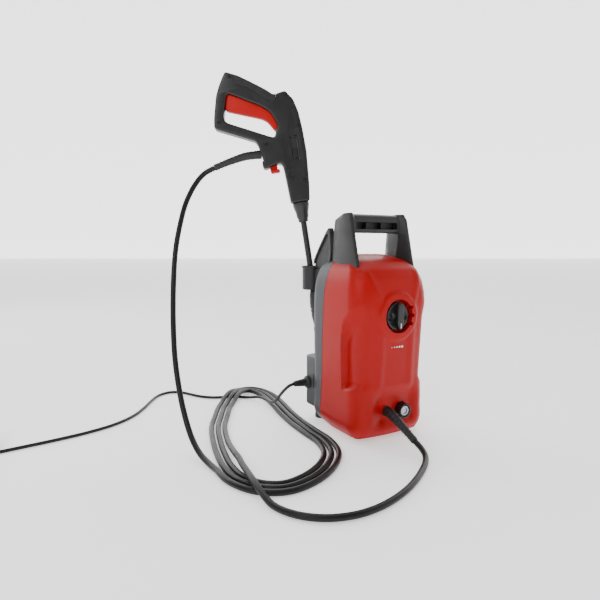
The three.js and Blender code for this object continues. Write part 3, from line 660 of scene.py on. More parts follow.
class WASHER_OT_stage(bpy.types.Operator):
    """Sets the pale floor, the soft studio light and the camera"""
    bl_idname = "washer.stage"
    bl_label = "Stage"

    def execute(self, context):
        scene = context.scene
        s = scene.washer_stage
        bpy.ops.mesh.primitive_plane_add(size=80, location=(0, 0, 0))
        floor = context.object
        floor.name = "studio_floor"
        floor.data.materials.append(paint()["floor"])
        camera = bpy.data.objects.new("camera", bpy.data.cameras.new("camera"))
        camera.data.lens, camera.data.sensor_width = s.lens, 36
        camera.data.clip_start = 0.05
        scene.collection.objects.link(camera)
        camera.location = SHIFT + CAMERA_AT * MM
        a, e = math.radians(CAMERA_AZIMUTH), math.radians(s.elevation)
        back = Vector((math.sin(a) * math.cos(e), -math.cos(a) * math.cos(e), math.sin(e)))
        camera.rotation_euler = back.to_track_quat("Z", "Y").to_euler()
        scene.camera = camera
        for name, at, size, watts in LAMPS:
            lamp = bpy.data.objects.new(name, bpy.data.lights.new(name, "AREA"))
            lamp.data.size, lamp.data.energy = size, watts
            lamp.location = at
            way = Vector(at) - AIM
            lamp.rotation_euler = way.to_track_quat("Z", "Y").to_euler()
            scene.collection.objects.link(lamp)
        world = bpy.data.worlds.new("studio")
        scene.world = world
        world.use_nodes = True
        sky = world.node_tree.nodes["Background"]
        sky.inputs["Color"].default_value = (1, 1, 1, 1)
        sky.inputs["Strength"].default_value = WORLD_LIGHT
        # A white paper sweep far behind the machine, lit from behind.
        bpy.ops.mesh.primitive_plane_add(size=60, location=(7, 12, 0), rotation=(math.pi / 2, 0, a))
        sweep = context.object
        sweep.name = "studio_backdrop"
        sweep.data.materials.append(paint()["backdrop"])
        return {"FINISHED"}


# ---- Cords ----------------------------------------------------------------------------
HOSE_R, LEAD_R = 5.2, 3.3
HOSE_FROM_GUN = [
    (-239.6, 190.6, 518.2), (-257, 199, 507), (-275, 201, 486), (-297, 194, 449), (-313, 182, 409),
    (-329, 166, 355), (-339, 150, 300), (-347, 132, 228), (-352, 110, 160), (-353, 88, 112), (-352, 62, 68),
    (-349, 32, 32), (-345, 0, 13), (-340, -34, 6),
]
# The outermost turn on the floor, counter-clockwise; the inner turns lie a pitch apart inside it.
RING = [
    (-327, 1), (-337, -60), (-334, -112), (-311, -157), (-272, -180), (-222, -175), (-168, -147),
    (-126, -102), (-107, -46), (-104, 10), (-100, 65), (-90, 130), (-77, 190), (-68, 250), (-70, 296),
    (-83, 330), (-104, 346), (-130, 344), (-160, 326), (-194, 290), (-226, 248), (-258, 190), (-288, 131),
    (-310, 66),
]
PITCH, TURNS = 13, 3
LANDING = (-337, -64)  # where the hose from the gun joins the outermost turn
HOSE_TO_OUTLET = [
    (-303, -84, 16.8), (-307, -112, 17), (-311, -142, 16.8), (-312, -172, 12), (-310, -200, 6.5),
    (-301, -226, 5.4), (-284, -250, 5.4), (-258, -269, 5.4), (-222, -280, 5.4), (-186, -280, 5.4),
    (-152, -273, 5.4), (-118, -261, 5.4), (-84, -244, 5.4), (-52, -224, 5.4), (-28, -206, 6.2),
    (-14, -191, 9), (-8, -176, 13.8), (-7.3, -159.8, 20.7), (-7.5, -158, 21.5), (-8.6, -144, 29.5),
    (-10.4, -124, 41), (-11, -97, 53.6), (-11, -84, 55),
]
# The bend sleeves' centre lines, the second in the gun's frame.
OUTLET_SLEEVE = [(-11, -79.5, 55.3), (-11, -84, 55), (-11, -97, 53.6), (-10.4, -124, 41), (-7.5, -158, 21.5)]
GUN_SLEEVE = [(64, 263.4, 0), (97, 264, 0), (129, 258.5, 0), (161.5, 250.9, 0)]
LEAD = [
    (-111.6, 92.2, 77.8), (-119, 94, 75.5), (-124, 112, 60), (-124, 130, 45), (-122, 150, 30), (-120, 172, 19),
    (-118, 196, 14.6), (-119, 220, 14.4), (-122, 242, 12), (-128, 262, 7), (-138, 280, 3.6), (-156, 296, 3.6),
    (-180, 306, 3.6), (-206, 318, 3.6), (-228, 340, 3.6), (-244, 370, 3.6), (-260, 398, 3.6), (-284, 410, 3.6),
    (-312, 398, 3.6), (-338, 364, 3.6), (-366, 318, 3.6), (-398, 276, 3.6), (-440, 244, 3.6), (-492, 224, 3.6),
    (-548, 213, 3.6), (-604, 206, 3.6), (-655, 200.5, 3.6),
]
COIL = (-696, 250)
# The coil's columns of turns from the outermost in, and how far each turn rises.
COLUMNS, RISE, TURN_STEP, COLUMN_ANGLE = (51, 44.2, 37.4, 30.6, 23.8), 7.8, 20, 1160
CROSS_STEP = 22.5
PLUG_BACK, PLUG_AHEAD, PLUG_Z = 67.5, 12, 18.6
ON_FLOOR = 3.6


def hose_route():
    """The hose's centre line: down from the gun, three turns on the floor, then round to the outlet."""
    under = np.array([p[:2] for p in spline(LEAD, 4) if p[2] < 5 and p[1] > 290 and p[0] > -300])
    ring = spline(RING, 4.0, True)
    begin = int(np.argmin(np.hypot(ring[:, 0] - LANDING[0], ring[:, 1] - LANDING[1])))
    way = np.roll(ring, -3, axis=0) - np.roll(ring, 3, axis=0)
    inwards = np.stack([-way[:, 1], way[:, 0]], 1) / np.linalg.norm(way, axis=1)[:, None]
    loop = []
    total = TURNS * len(ring)
    for i in range(0, total + 1, 4):
        n = i / len(ring)
        k = (begin + i) % len(ring)
        x, y = ring[k] + inwards[k] * PITCH * n
        away = np.min(np.linalg.norm(under - (x, y), axis=1))
        hump = 7.4 * (1 - float(ease(away, 6, 62)))
        rise = 11.4 * float(ease(n, TURNS - 0.12, TURNS))
        loop.append((x, y, 5.4 + hump + rise))
    into = MACHINE.inverted() @ GUN @ Vector(GUN_SLEEVE[-1])
    first = into + (Vector(HOSE_FROM_GUN[1]) - into).normalized() * 0.25
    path = spline([tuple(first)] + HOSE_FROM_GUN[1:] + loop + HOSE_TO_OUTLET, 5.0)
    path[:, 2] = np.maximum(path[:, 2], HOSE_R + 0.05)
    return path


def lead_route():
    """The lead's centre line: from the gland over the hose, away to a coil of nested upright helices, and
    almost to the plug."""
    points = list(LEAD)
    angle, z = -90.0, ON_FLOOR
    for column, r in enumerate(COLUMNS):
        up = 1 if column % 2 == 0 else -1
        for _ in range(COLUMN_ANGLE // TURN_STEP):
            points.append(by_coil(r, angle, z))
            angle -= TURN_STEP
            z = max(ON_FLOOR, z + up * RISE * TURN_STEP / 360)
        if r == COLUMNS[-1]:
            break
        # Across to the next column in a quarter of a turn or less.
        for k in range(1, 4):
            inwards = (COLUMNS[column + 1] - r) * float(ease(k / 4, 0, 1))
            points.append(by_coil(r + inwards, angle, z))
            angle -= CROSS_STEP
            z = max(ON_FLOOR, z + (RISE * CROSS_STEP / 360 if up > 0 else 0))
    # Out over the top of the coil and down to the plug on its far side.
    top = z + 7.0
    for k, (r, h) in enumerate(((24.5, z + 2.5), (29, top), (37, top), (46, top + 0.6), (56, top - 1.5),
                                (64, top - 8), (71, 24), (PLUG_BACK, 19.4))):
        points.append(by_coil(r, angle - TURN_STEP * k, h))
    return points


def by_coil(r, angle, z):
    """A point at a distance and an angle in degrees from the middle of the lead's coil."""
    a = math.radians(angle)
    return COIL[0] + r * math.cos(a), COIL[1] + r * math.sin(a), z


class WasherCords(bpy.types.PropertyGroup):
    hose_sides: IntProperty(name="Hose sides", description="Facets round the hose", default=18, min=8, max=48)
    lead_sides: IntProperty(name="Lead sides", description="Facets round the lead", default=14, min=8, max=48)


class WASHER_OT_hose(bpy.types.Operator):
    """Lays the hose from the gun through its coil to the outlet, with a bend sleeve at each end"""
    bl_idname = "washer.hose"
    bl_label = "Hose"

    def execute(self, context):
        m = paint()
        path = hose_route()
        hose = smooth(tube("high_pressure_hose", path, HOSE_R, context.scene.washer_cords.hose_sides), 60)
        hose.data.materials.append(m["hose"])
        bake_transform(hose)
        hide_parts("hose_to_gun", "hose_coil", "hose_to_outlet")
        # The outlet's bend sleeve: ribbed collar at the machine, tapering down the hose.
        line = spline(OUTLET_SLEEVE, 2.0)
        outlet = tube("outlet_bend_sleeve", line, sleeve_radii(line, 9.6, 6.6, 14), 32)
        outlet = keep(smooth(outlet, 40), "root", ["outlet_sleeve"], m["rubber"])
        # The gun's own, which is carried with the gun when it is lifted.
        line = spline(GUN_SLEEVE, 2.0)
        sleeve = tube("gun_bend_sleeve", line, sleeve_radii(line, 8.6, 6.6, 10), 32, GUN)
        sleeve = keep(smooth(sleeve, 40), "gun", ["gun_hose_sleeve"], m["rubber"])
        return {"FINISHED"}


def sleeve_radii(line, big, small, collar):
    """Radii of a moulded bend sleeve: a plain collar, then flex grooves that grow finer as it tapers."""
    gone = np.concatenate([[0], np.cumsum(np.linalg.norm(np.diff(line, axis=0), axis=1))])
    t = gone / gone[-1]
    body = big + (small - big) * ease(t, 0.12, 1.0)
    groove = 0.7 * (0.5 + 0.5 * np.cos(gone * 2 * math.pi / 8.0)) * (gone > collar) * (t < 0.93)
    return np.where(t > 0.985, body * 0.93, body - groove)


class WASHER_OT_lead(bpy.types.Operator):
    """Lays the mains lead from its gland to a tied coil, with its moulded plug"""
    bl_idname = "washer.lead"
    bl_label = "Mains lead"

    def execute(self, context):
        m = paint()
        way, seat = Vector((0, 1, 0)), (COIL[0] - PLUG_BACK, COIL[1] + PLUG_AHEAD, PLUG_Z)
        route = spline(lead_route() + [seat], 3.4)
        route[:, 2] = np.maximum(route[:, 2], LEAD_R + 0.05)
        lead = smooth(tube("mains_lead", route, LEAD_R, context.scene.washer_cords.lead_sides), 60)
        keep(lead, "root", ["power_lead", "power_lead_coil"], m["lead"])
        # Moulded plug with a waisted grip and two round pins.
        profile = [(4.2, 0), (4.6, 3), (5.2, 14), (6.2, 30), (8.2, 38), (12.5, 43), (16.6, 48), (18.0, 54),
                   (17.2, 62), (18.0, 70), (18.2, 76), (16.0, 81.5), (14.5, 82)]
        lay = MACHINE @ Matrix.Translation(seat) @ way.to_track_quat("Z", "Y").to_matrix().to_4x4()
        body = lathe("moulded_plug", profile, place=lay, sides=48)
        plug = keep(smooth(body, 40), "root", ["mains_plug"], m["rubber"])
        for i, side in enumerate((-9.5, 9.5)):
            pin = [(2.4, 81), (2.4, 98), (1.6, 100.5), (1.0, 101)]
            pin = lathe(f"plug_pin_{i + 1}", pin, (side, 0, 0), sides=24, place=lay)
            keep(smooth(pin, 40), "root", (), m["steel"])
        tie = self.tie(m)
        return {"FINISHED"}

    def tie(self, m):
        """A soft band round the coil's near side."""
        ring = rounded_rectangle(18.5, 56.5, 0.4, 41.5, 8, 8)
        inner = rounded_rectangle(19.9, 55.1, 0.4, 40.1, 7, 8)
        around = MACHINE @ Matrix.Translation((*COIL, 0)) @ Matrix.Rotation(math.radians(35), 4, "Z")
        band = rounded_plate("coil_tie", [ring, inner], -6, 6, 0.5, around @ STAND_Y, 2)
        return keep(smooth(band, 40), "root", (), m["rubber"])


class WASHER_OT_gland(bpy.types.Operator):
    """Builds the cable gland with its flange and tapered flex sleeve"""
    bl_idname = "washer.gland"
    bl_label = "Cable gland"

    def execute(self, context):
        m = paint()
        profile = [(8, -12), (8, 0.3), (13, 0.3), (13.2, 2), (12.4, 4.6), (9.4, 7)]
        for k in range(6):
            h = 9 + 4.2 * k
            r = 7.6 - 0.45 * k
            profile += [(r + 0.6, h), (r + 0.6, h + 2.2), (r - 0.5, h + 2.8), (r - 0.5, h + 4.0)]
        profile += [(4.6, 34.3)]
        gland = lathe("lead_gland", profile, (-76, GLAND_Y, GLAND_Z), "-x", 40)
        keep(smooth(gland, 40), "root", ["cable_gland"], m["rubber"])
        return {"FINISHED"}


# ---- Handle and gun holder --------------------------------------------------------------
# Plan sections of the left arm from foot to crest: height, then (distance out, y) points.
ARM = [
    (312, [(68.5, -68), (70, -13), (65, 24), (58, 6), (54, -24), (62, -70)]),
    (330, [(68.5, -62), (70, -13), (65, 22), (58, 5), (54, -25), (62, -64)]),
    (385, [(68.5, -48), (70, -14), (65, 17), (58, 3), (54, -33), (62, -50)]),
    (412, [(68, -42), (69, -15), (64, 14), (58, 1), (53, -35), (61, -44)]),
    (423, [(65, -36), (65.5, -18), (61, -10), (56, -10), (53, -30), (61, -38)]),
]


class WasherHandle(bpy.types.PropertyGroup):
    edge: FloatProperty(name="Edge", description="Rounding of the edges, mm", default=1.5, min=0.4, max=3)
    ribs: IntProperty(name="Ribs", description="Ribs in the recess under the bar's front edge", default=3)


class WASHER_OT_handle(bpy.types.Operator):
    """Builds the carrying handle: two faceted arms and a ribbed cross bar"""
    bl_idname = "washer.handle"
    bl_label = "Handle"

    def execute(self, context):
        m = paint()
        edge = context.scene.washer_handle.edge
        arms = []
        for sign in (-1, 1):
            arm = loft(f"arm{sign}", [[(sign * x, y, z) for x, y in ring] for z, ring in ARM])
            arms.append(bevel(arm, edge, 3, 14))
        profile = [(-32, 387), (-14, 387), (-12, 390), (-12, 413), (-16, 420), (-21, 421.5), (-27, 421),
                   (-33, 417), (-34.5, 412), (-34.5, 390)]
        bar = rounded_plate("carrying_handle", [spline(profile, 1.5, True, 0.3)], -58, 58, 0.4, FACING_X, 2)
        handle = combine(bar, arms, "UNION")
        recess = [rounded_rectangle(-49, 49, 393.5, 406.5, 2.0)]
        recess = rounded_plate("rc", recess, -46, -19, 0.6, FACING_Y, 2)
        handle = combine(handle, [recess, casing_blank("cc", 0.5, True)], "DIFFERENCE")
        count = context.scene.washer_handle.ribs
        part = rounded_plate("rib", [rounded_rectangle(-0.7, 0.7, -8, 8, 0.4, 2)], -6, 6, 0.2, PART, 2)
        at = [SHIFT + Vector((-22 + 36 * i, -24, 400)) * MM for i in range(count)]
        ribs = repeated("ribs", part, at, m["black"], (math.pi / 2, 0.0, 0.0))
        handle = combine(handle, [ribs], "UNION")
        keep(smooth(handle, 28), "root", ["carry_handle"], m["black"])
        return {"FINISHED"}


class WASHER_OT_holder(bpy.types.Operator):
    """Builds the gun's holder: a rimmed gusset behind the handle's left arm with a cup for the lance"""
    bl_idname = "washer.holder"
    bl_label = "Gun holder"

    def execute(self, context):
        m = paint()
        gusset = [(25, 392), (30, 397), (45, 384), (92, 320), (92, 276), (60, 300), (25, 332)]
        centre = np.mean(gusset, axis=0)
        inner = [tuple(centre + (np.array(p) - centre) * 0.78) for p in gusset]
        gusset, inner = spline(gusset, 3, True, 0.3), spline(inner, 3, True, 0.3)
        rim = rounded_plate("lance_holder", [gusset, inner], -68, -58, 1.2, FACING_X, 2)
        plate = rounded_plate("gp", [gusset], -65, -61, 0.8, FACING_X, 2)
        web = box("web", -68, -46, 60, 84, 273, 315)
        cup = [(17.8, 272), (20.3, 273), (20.3, 316), (21.6, 317.5), (21.6, 320.5), (20.6, 321.5),
               (18.4, 321.5), (17.6, 320), (17.6, 273), (17.8, 272)]
        hollow = lathe("hl", [(17.6, 250), (17.6, 340)], (CUP_X, CUP_Y, 0))
        holder = combine(rim, [plate, bevel(web, 2.0)], "UNION")
        holder = combine(holder, [hollow, casing_blank("cc", 0.5, True)], "DIFFERENCE")
        holder = combine(holder, [lathe("cup", cup, (CUP_X, CUP_Y, 0))], "UNION")
        keep(smooth(holder, 32), "root", ["gun_holder"], m["black"])
        return {"FINISHED"}


# ---- Controls, connections and small fixings ----------------------------------------------
class WASHER_OT_controls(bpy.types.Operator):
    """Builds the rotary switch's knob with its grip bar and pointer, and the printed marks"""
    bl_idname = "washer.controls"
    bl_label = "Knob and marks"

    def execute(self, context):
        m = paint()
        disc = lathe("switch_cap", [(4, -81), (4, -88.3), (24.6, -88.3), (24.6, -89.6), (25.5, -90.6),
                                    (25.5, -96.6), (24.6, -98.2), (23, -98.8), (20, -98.2), (18.5, -97.6)],
                     (0, 0, KNOB_Z), "y", 96)
        outline = [(-6.4, 16), (-5.2, 22), (0, 24.4), (5.2, 22), (6.4, 16), (6.8, 0), (6.4, -15), (3.4, -21),
                   (0, -24.8), (-3.4, -21), (-6.4, -15), (-6.8, 0)]
        place = FACING_Y @ Matrix.Translation((0, KNOB_Z, 0))
        grip = rounded_plate("grip", [spline(outline, 1.2, True)], -108, -96, 2.2, place, 4)
        knob = combine(disc, [grip], "UNION")
        # Two finger hollows beside the grip bar.
        for sign in (-1, 1):
            dish = lathe("dish", [(3, -104), (9, -98.4), (5, -94.8)], (sign * 15, 0, KNOB_Z), "y", 48)
            knob = combine(knob, [dish], "DIFFERENCE")
        keep(smooth(knob, 34), "knob", ["switch_knob"], m["black_fine"])
        line = [rounded_rectangle(-0.8, 0.8, -21, -12, 0.7)]
        line = rounded_plate("knob_pointer", line, -108.25, -107.2, 0.15, place, 2)
        keep(smooth(line), "knob", (), m["white_print"])
        # Plain round marks in place of any wording, growing from left to right.
        for i in range(5):
            x, z, r = -12 + 6 * i, 178, 0.9 + 0.35 * i
            mark = lathe(f"print_mark_{i + 1}", [(r, -1.5), (r, 0.12)], (x, front_at(x, z), z), "-y", 28)
            keep(smooth(mark), "root", (), m["white_print"])
        return {"FINISHED"}


def front_at(x, z):
    """The front face's y at a point near the middle of the casing."""
    front, _, half, _ = level_at(z)
    return float(sculpt(np.array([[x, front - 7 * max(0, 1 - (x / half) ** 2), z]]))[0][1])


class WASHER_OT_water(bpy.types.Operator):
    """Builds the water inlet's fluted nut and the boss that the hose leaves by"""
    bl_idname = "washer.water"
    bl_label = "Water connections"

    def execute(self, context):
        m = paint()
        place = FACING_Y @ Matrix.Translation((INLET_X, INLET_Z, 0))
        nut = rounded_plate("inlet_collar_nut", [fluted(13.9, 1.5, 2)], -98, -74, 0.9, place, 3)
        middle = (INLET_X, -86, INLET_Z)
        nut = combine(nut, [lathe("b", [(9.4, -20), (9.4, 20)], middle, "-y"),
                            lathe("c", [(9.4, 8.8), (12.0, 12.2)], middle, "-y")], "DIFFERENCE")
        keep(smooth(nut, 34), "inlet_nut", ["inlet_nut"], m["black_fine"])
        # The outlet is a die-cast boss that ends inside the mouth of the bend sleeve.
        boss = [(8.9, 40), (8.9, 70), (7.6, 72), (7.6, 79)]
        boss = lathe("outlet_boss", boss, (OUTLET_X, 0, OUTLET_Z), "-y", 48)
        keep(smooth(boss), "root", ["outlet_fitting"], m["aluminium"])
        return {"FINISHED"}


class WASHER_OT_fixings(bpy.types.Operator):
    """Repeats the casing's cross-slotted screws in their wells"""
    bl_idname = "washer.fixings"
    bl_label = "Screws"

    def execute(self, context):
        m = paint()
        part = screw("screw_part", 3.8, 24)
        at = [SHIFT + Vector((x, 108.2, z)) * MM for x, z in CASE_SCREWS]
        screws = repeated("case_screws", part, at, m["zinc"], (-math.pi / 2, 0.0, 0.0))
        nodes = [f"case_screw_{i}" for i in range(1, 5)]
        keep(smooth(screws, 30), "root", nodes, m["zinc"])
        return {"FINISHED"}


def screw(name, head, shank):
    """A pan-head screw with a cross slot, its head's top at z 1.6 and its shank pointing down."""
    profile = [(1.6, -shank), (1.9, -shank + 2), (1.9, -0.4), (head, -0.4), (head, 0.5), (head * 0.82, 1.3),
               (head * 0.5, 1.6)]
    body = lathe(name, profile, place=PART, sides=28)
    reach = head * 0.58
    slots = [box("slot", -x, x, -y, y, 0.3, 3, PART) for x, y in ((reach, 0.45), (0.45, reach))]
    return combine(body, slots, "DIFFERENCE")


# ---- Trigger gun --------------------------------------------------------------------------
GUN_OUTLINE = [
    (20, 157), (24, 232), (29, 240), (58, 232), (64.5, 234), (65.5, 246), (62, 249), (64, 262), (67.6, 279),
    (72.4, 289), (143, 321), (148.5, 325), (146, 342), (135, 384), (126, 403), (117, 417.5), (109.8, 428),
    (86, 417.4), (62, 402), (36, 384), (22, 372), (9, 375), (-2, 376.5), (-9.4, 366), (-15.3, 358), (-22, 333),
    (-25.2, 300), (-26.7, 255), (-22.8, 194), (-18.5, 157),
]
FINGER_HOLE = [(28, 304), (32.8, 289.5), (123, 332), (126.5, 341.8), (115, 382), (110, 386), (49.6, 353),
               (33.2, 339), (22.6, 313)]
TRIGGER = [(24, 300), (31, 306), (41.7, 323.9), (53, 331.4), (122, 356.2), (116, 380), (109, 396), (80, 383),
           (49, 362), (28, 343), (14, 320), (15, 306)]
TRIGGER_SLOT = [(36, 300), (20, 292), (5, 300), (4, 325), (20, 352), (44, 375), (80, 399), (104, 411),
                (119, 392), (126, 356), (60, 330)]
# The soft insert's side outline; its far side runs past the back of the grip and is trimmed to it.
INSERT = [(91, 436), (55, 418), (20, 392), (17, 371), (21, 361.5), (28.5, 358.5), (46.5, 371), (67, 389),
          (95, 402.5)]
# The raised cheek round the lock slide.
CHEEK = [(-17, 300), (-18, 255), (-15, 205), (15, 205), (18, 236), (20, 285), (6, 296), (-4, 330), (-10, 340)]
GUN_SCREWS = [(103, 416), (137, 333), (52, 279), (13, 226), (10, 205), (-4, 366), (-17, 306), (-14, 200)]


def softened(outline, reach=5.0):
    """An outline with its corners rounded over about reach millimetres and its straight runs kept straight."""
    p = np.array(outline, float)
    near = []
    for i in range(len(p)):
        for other in (p[i - 1], p[(i + 1) % len(p)]):
            gap = np.linalg.norm(other - p[i])
            near.append(p[i] + (other - p[i]) * min(0.36, reach / gap))
    points = []
    for i in range(len(p)):
        a, b = near[2 * i], near[2 * i + 1]
        for t in (0, 0.25, 0.5, 0.75, 1):
            points.append(tuple((1 - t) ** 2 * a + 2 * t * (1 - t) * p[i] + t * t * b))
    return points


class WasherGun(bpy.types.PropertyGroup):
    edge: FloatProperty(name="Edge", description="Rounding of the outer edges, mm", default=4.0, min=1, max=8)
    parting: FloatProperty(name="Parting line", description="Gap between the gun's halves, mm", default=0.5)


class WASHER_OT_gun(bpy.types.Operator):
    """Builds the trigger gun: two shell halves, grip insert, trigger, lock slide, hose clip and screws"""
    bl_idname = "washer.gun"
    bl_label = "Trigger gun"

    def execute(self, context):
        m = paint()
        s = context.scene.washer_gun
        shape = [softened(GUN_OUTLINE), softened(FINGER_HOLE, reach=8)]
        whole = rounded_plate("gun_half_left", shape, -15, 15, s.edge, GUN, 4)
        # Room for the trigger, the valve, the hose's end, its clip and the lock slide.
        cuts = [rounded_plate("t", [softened(TRIGGER_SLOT)], -8.2, 8.2, 0.3, GUN, 1),
                box("c1", -13, 13, 165, 296, -10, 10, GUN), box("c2", 12, 60, 252, 274, -10, 10, GUN),
                box("c4", 35, 52, 226, 254, -6.2, 6.2, GUN),
                box("c5", -10.5, 3, 241, 288, -17, -9, GUN)]
        # The hose's way in, and the bore for the lance's spigot.
        cuts.append(lathe("c6", [(9.2, 50), (9.2, 62), (11.5, 66), (11.5, 85)], (263.4, 0, 0), place=OUT_INLET,
                          sides=40))
        cuts.append(lathe("c7", [(7.4, 150), (7.4, 182)], place=UP_LANCE, sides=40))
        insert = twin(whole, "grip_soft_insert")
        pad = [softened(INSERT, reach=4)]
        insert = combine(insert, [rounded_plate("i", pad, -20, 20, 0.1, GUN, 1)], "INTERSECT")
        cuts.append(rounded_plate("c8", pad, -20, 20, 0.1, GUN, 1, grow=0.45))
        # Shallow panel lines: the side cheeks and the lock slide's surround stand back from the edge.
        for side in (-1, 1):
            cuts.append(rounded_plate("ch", [softened(CHEEK)], *sorted((side * 14.2, side * 16)), 0.3, GUN, 2))
        out = tuple((-GUN_Z).to_track_quat("Z", "Y").to_euler())
        well = lathe("well", [(2.9, 0), (2.9, 6)], place=PART, sides=24)
        at = [GUN @ Vector((x, y, -11.8)) for x, y in GUN_SCREWS]
        cuts.append(repeated("wells", well, at, m["black"], out))
        whole = combine(whole, cuts, "DIFFERENCE")
        other = twin(whole, "gun_half_right")
        g = s.parting / 2
        left = combine(whole, [box("l", -200, 300, 0, 600, -40, -g, GUN)], "INTERSECT")
        right = combine(other, [box("r", -200, 300, 0, 600, g, 40, GUN)], "INTERSECT")
        keep(smooth(left, 32), "gun", ["gun_shell_left"], m["black_fine"])
        keep(smooth(right, 32), "gun", ["gun_shell_right"], m["black_fine"])
        at = [GUN @ Vector((x, y, -12.4)) for x, y in GUN_SCREWS]
        screws = repeated("gun_screws", screw("sp", 2.6, 6), at, m["zinc"], out)
        keep(smooth(screws, 30), "gun", (), m["black_fine"])
        bars = [rounded_plate("t", [softened(TRIGGER_SLOT)], -8.8, 8.8, 0.3, GUN, 1)]
        for u, v in ((80, 404), (57, 388), (35, 371)):
            turn = GUN @ Matrix.Translation((u, v, 0)) @ Matrix.Rotation(math.radians(33), 4, "Z")
            bars += [box("g", -0.6, 0.6, -5, 30, *sorted((side * 14.3, side * 18)), turn) for side in (-1, 1)]
        insert = combine(insert, bars, "DIFFERENCE")
        keep(smooth(insert, 34), "gun", ["grip_insert"], m["rubber"])
        lever = rounded_plate("trigger_lever", [softened(TRIGGER, reach=7)], -7.5, 7.5, 2.4, GUN, 4)
        pivot = lathe("ph", [(2.4, -9), (2.4, 9)], (21, 313, 0), sides=24, place=GUN)
        lever = combine(lever, [pivot], "DIFFERENCE")
        keep(smooth(lever, 34), "trigger", ["trigger"], m["signal"])
        liner = box("window_liner", -10, 2.6, 241.4, 287.6, -9.4, -8.8, GUN)
        keep(smooth(liner), "gun", (), m["black"])
        slide = [rounded_rectangle(-8, 1, 246, 262, 1.5)]
        slide = rounded_plate("lock_button", slide, -14.4, -9.6, 0.8, GUN, 3)
        grooves = [box("g", -9, 2, 249.5 + 3.4 * i, 250.7 + 3.4 * i, -16, -13.6, GUN) for i in range(4)]
        slide = combine(slide, grooves, "DIFFERENCE")
        keep(smooth(slide, 34), "lock_slide", ["lock_slide"], m["black_fine"])
        foot = rounded_plate("clip_lever", [rounded_rectangle(32, 50.5, 222.6, 228.8, 1.8)], -9, 9, 1.2, GUN, 3)
        tongue = rounded_plate("tg", [rounded_rectangle(36, 51, 226.5, 248, 1.2)], -5.5, 5.5, 0.8, GUN, 2)
        clip = combine(foot, [tongue], "UNION")
        keep(smooth(clip, 34), "hose_clip", ["hose_clip"], m["signal"])
        return {"FINISHED"}


class WASHER_OT_lance(bpy.types.Operator):
    """Builds the lance: bayonet collar, tube, nozzle body and the turning nozzle"""
    bl_idname = "washer.lance"
    bl_label = "Lance"

    def execute(self, context):
        m = paint()
        collar = [(8.6, 117), (10, 118), (10.4, 124), (12.2, 127), (13.0, 136), (15.6, 146), (16.8, 151),
                  (16.8, 155.6), (15.8, 156.7), (7, 156.7), (7, 176)]
        piece = lathe("lance_bayonet_collar", collar, place=UP_LANCE, sides=64)
        keep(smooth(piece, 34), "lance", ["lance_collar"], m["black_fine"])
        pipe = lathe("lance_pipe", [(6.3, -23), (6.3, 118)], place=UP_LANCE, sides=40)
        keep(smooth(pipe, 34), "lance", ["lance_tube"], m["black_fine"])
        body = [(10.4, -98), (11, -97.4), (12.6, -82), (13, -79), (13, -74), (12.2, -73), (12.2, -71),
                (13, -70), (13, -65), (12.2, -64), (12.2, -62), (13, -61), (13, -53), (11.6, -44), (11, -36),
                (8, -25), (6.6, -23.3)]
        body = lathe("nozzle_holder", body, place=UP_LANCE, sides=56)
        keep(smooth(body, 34), "lance", ["nozzle_body"], m["black"])
        down = UP_LANCE @ Matrix.Scale(-1, 4, (0, 0, 1))
        tip = rounded_plate("adjusting_nozzle", [fluted(12.6, 0.9, 1)], 104, 150, 0.9, down, 3)
        cone = [(3.4, -157), (3.4, -161.5), (7.6, -161.5), (8.6, -160), (11.8, -149.5), (11.8, -104),
                (10.6, -98.4)]
        cone = lathe("cone", cone, place=UP_LANCE, sides=56)
        tip = combine(tip, [cone], "UNION")
        keep(smooth(tip, 34), "nozzle_tip", ["nozzle_tip"], m["black_fine"])
        return {"FINISHED"}


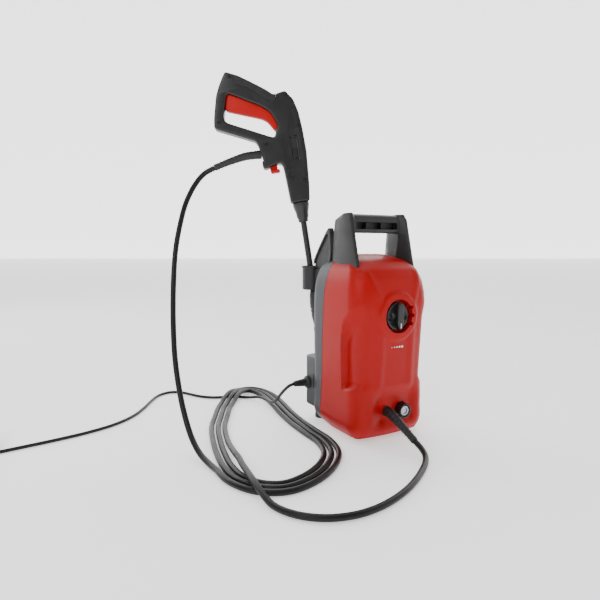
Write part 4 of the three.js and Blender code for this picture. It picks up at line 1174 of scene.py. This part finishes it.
class WASHER_OT_inside(bpy.types.Operator):
    """Gives every part that is carried over from the solid model its finish"""
    bl_idname = "washer.inside"
    bl_label = "Parts carried over"

    def execute(self, context):
        m = paint()
        kinds = {"foot": "rubber", "inlet": "aluminium", "motor": "steel", "shaft": "steel", "swash": "steel",
                 "piston": "steel", "trigger_pin": "steel", "pump": "aluminium", "bypass": "aluminium",
                 "capacitor": "aluminium", "valve": "aluminium", "terminal": "cream"}
        for name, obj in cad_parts.items():
            if obj.hide_render:
                continue
            kind = next((v for k, v in kinds.items() if name.startswith(k)), "black")
            obj.data.materials.clear()
            obj.data.materials.append(m[kind])
        return {"FINISHED"}


# ---- Panel and running order ------------------------------------------------------------
class WASHER_PT_panel(bpy.types.Panel):
    """The washer's pieces and their sizes"""
    bl_label = "Washer"
    bl_idname = "WASHER_PT_panel"
    bl_space_type = "VIEW_3D"
    bl_region_type = "UI"
    bl_category = "Washer"

    def draw(self, context):
        for step in STEPS:
            self.layout.operator(step.bl_idname)
        for name in GROUPS:
            sizes = self.layout.box()
            group = getattr(context.scene, name)
            for key in group.__annotations__:
                sizes.prop(group, key)


STEPS = [WASHER_OT_stage, WASHER_OT_casing, WASHER_OT_handle, WASHER_OT_holder, WASHER_OT_controls,
         WASHER_OT_water, WASHER_OT_fixings, WASHER_OT_gun, WASHER_OT_lance, WASHER_OT_hose, WASHER_OT_gland,
         WASHER_OT_lead, WASHER_OT_inside]
GROUPS = {"washer_casing": WasherCasing, "washer_handle": WasherHandle, "washer_gun": WasherGun,
          "washer_stage": WasherStage, "washer_cords": WasherCords}
CLASSES = [*GROUPS.values(), *STEPS, WASHER_PT_panel]


def register():
    for cls in CLASSES:
        bpy.utils.register_class(cls)
    for name, group in GROUPS.items():
        setattr(bpy.types.Scene, name, PointerProperty(type=group))


def unregister():
    for name in GROUPS:
        delattr(bpy.types.Scene, name)
    for cls in reversed(CLASSES):
        bpy.utils.unregister_class(cls)


def main():
    register()
    for step in STEPS:
        space, name = step.bl_idname.split(".")
        if getattr(getattr(bpy.ops, space), name)() != {"FINISHED"}:
            raise RuntimeError(f"{step.bl_idname} didn't finish")


if __name__ == "__main__":
    main()
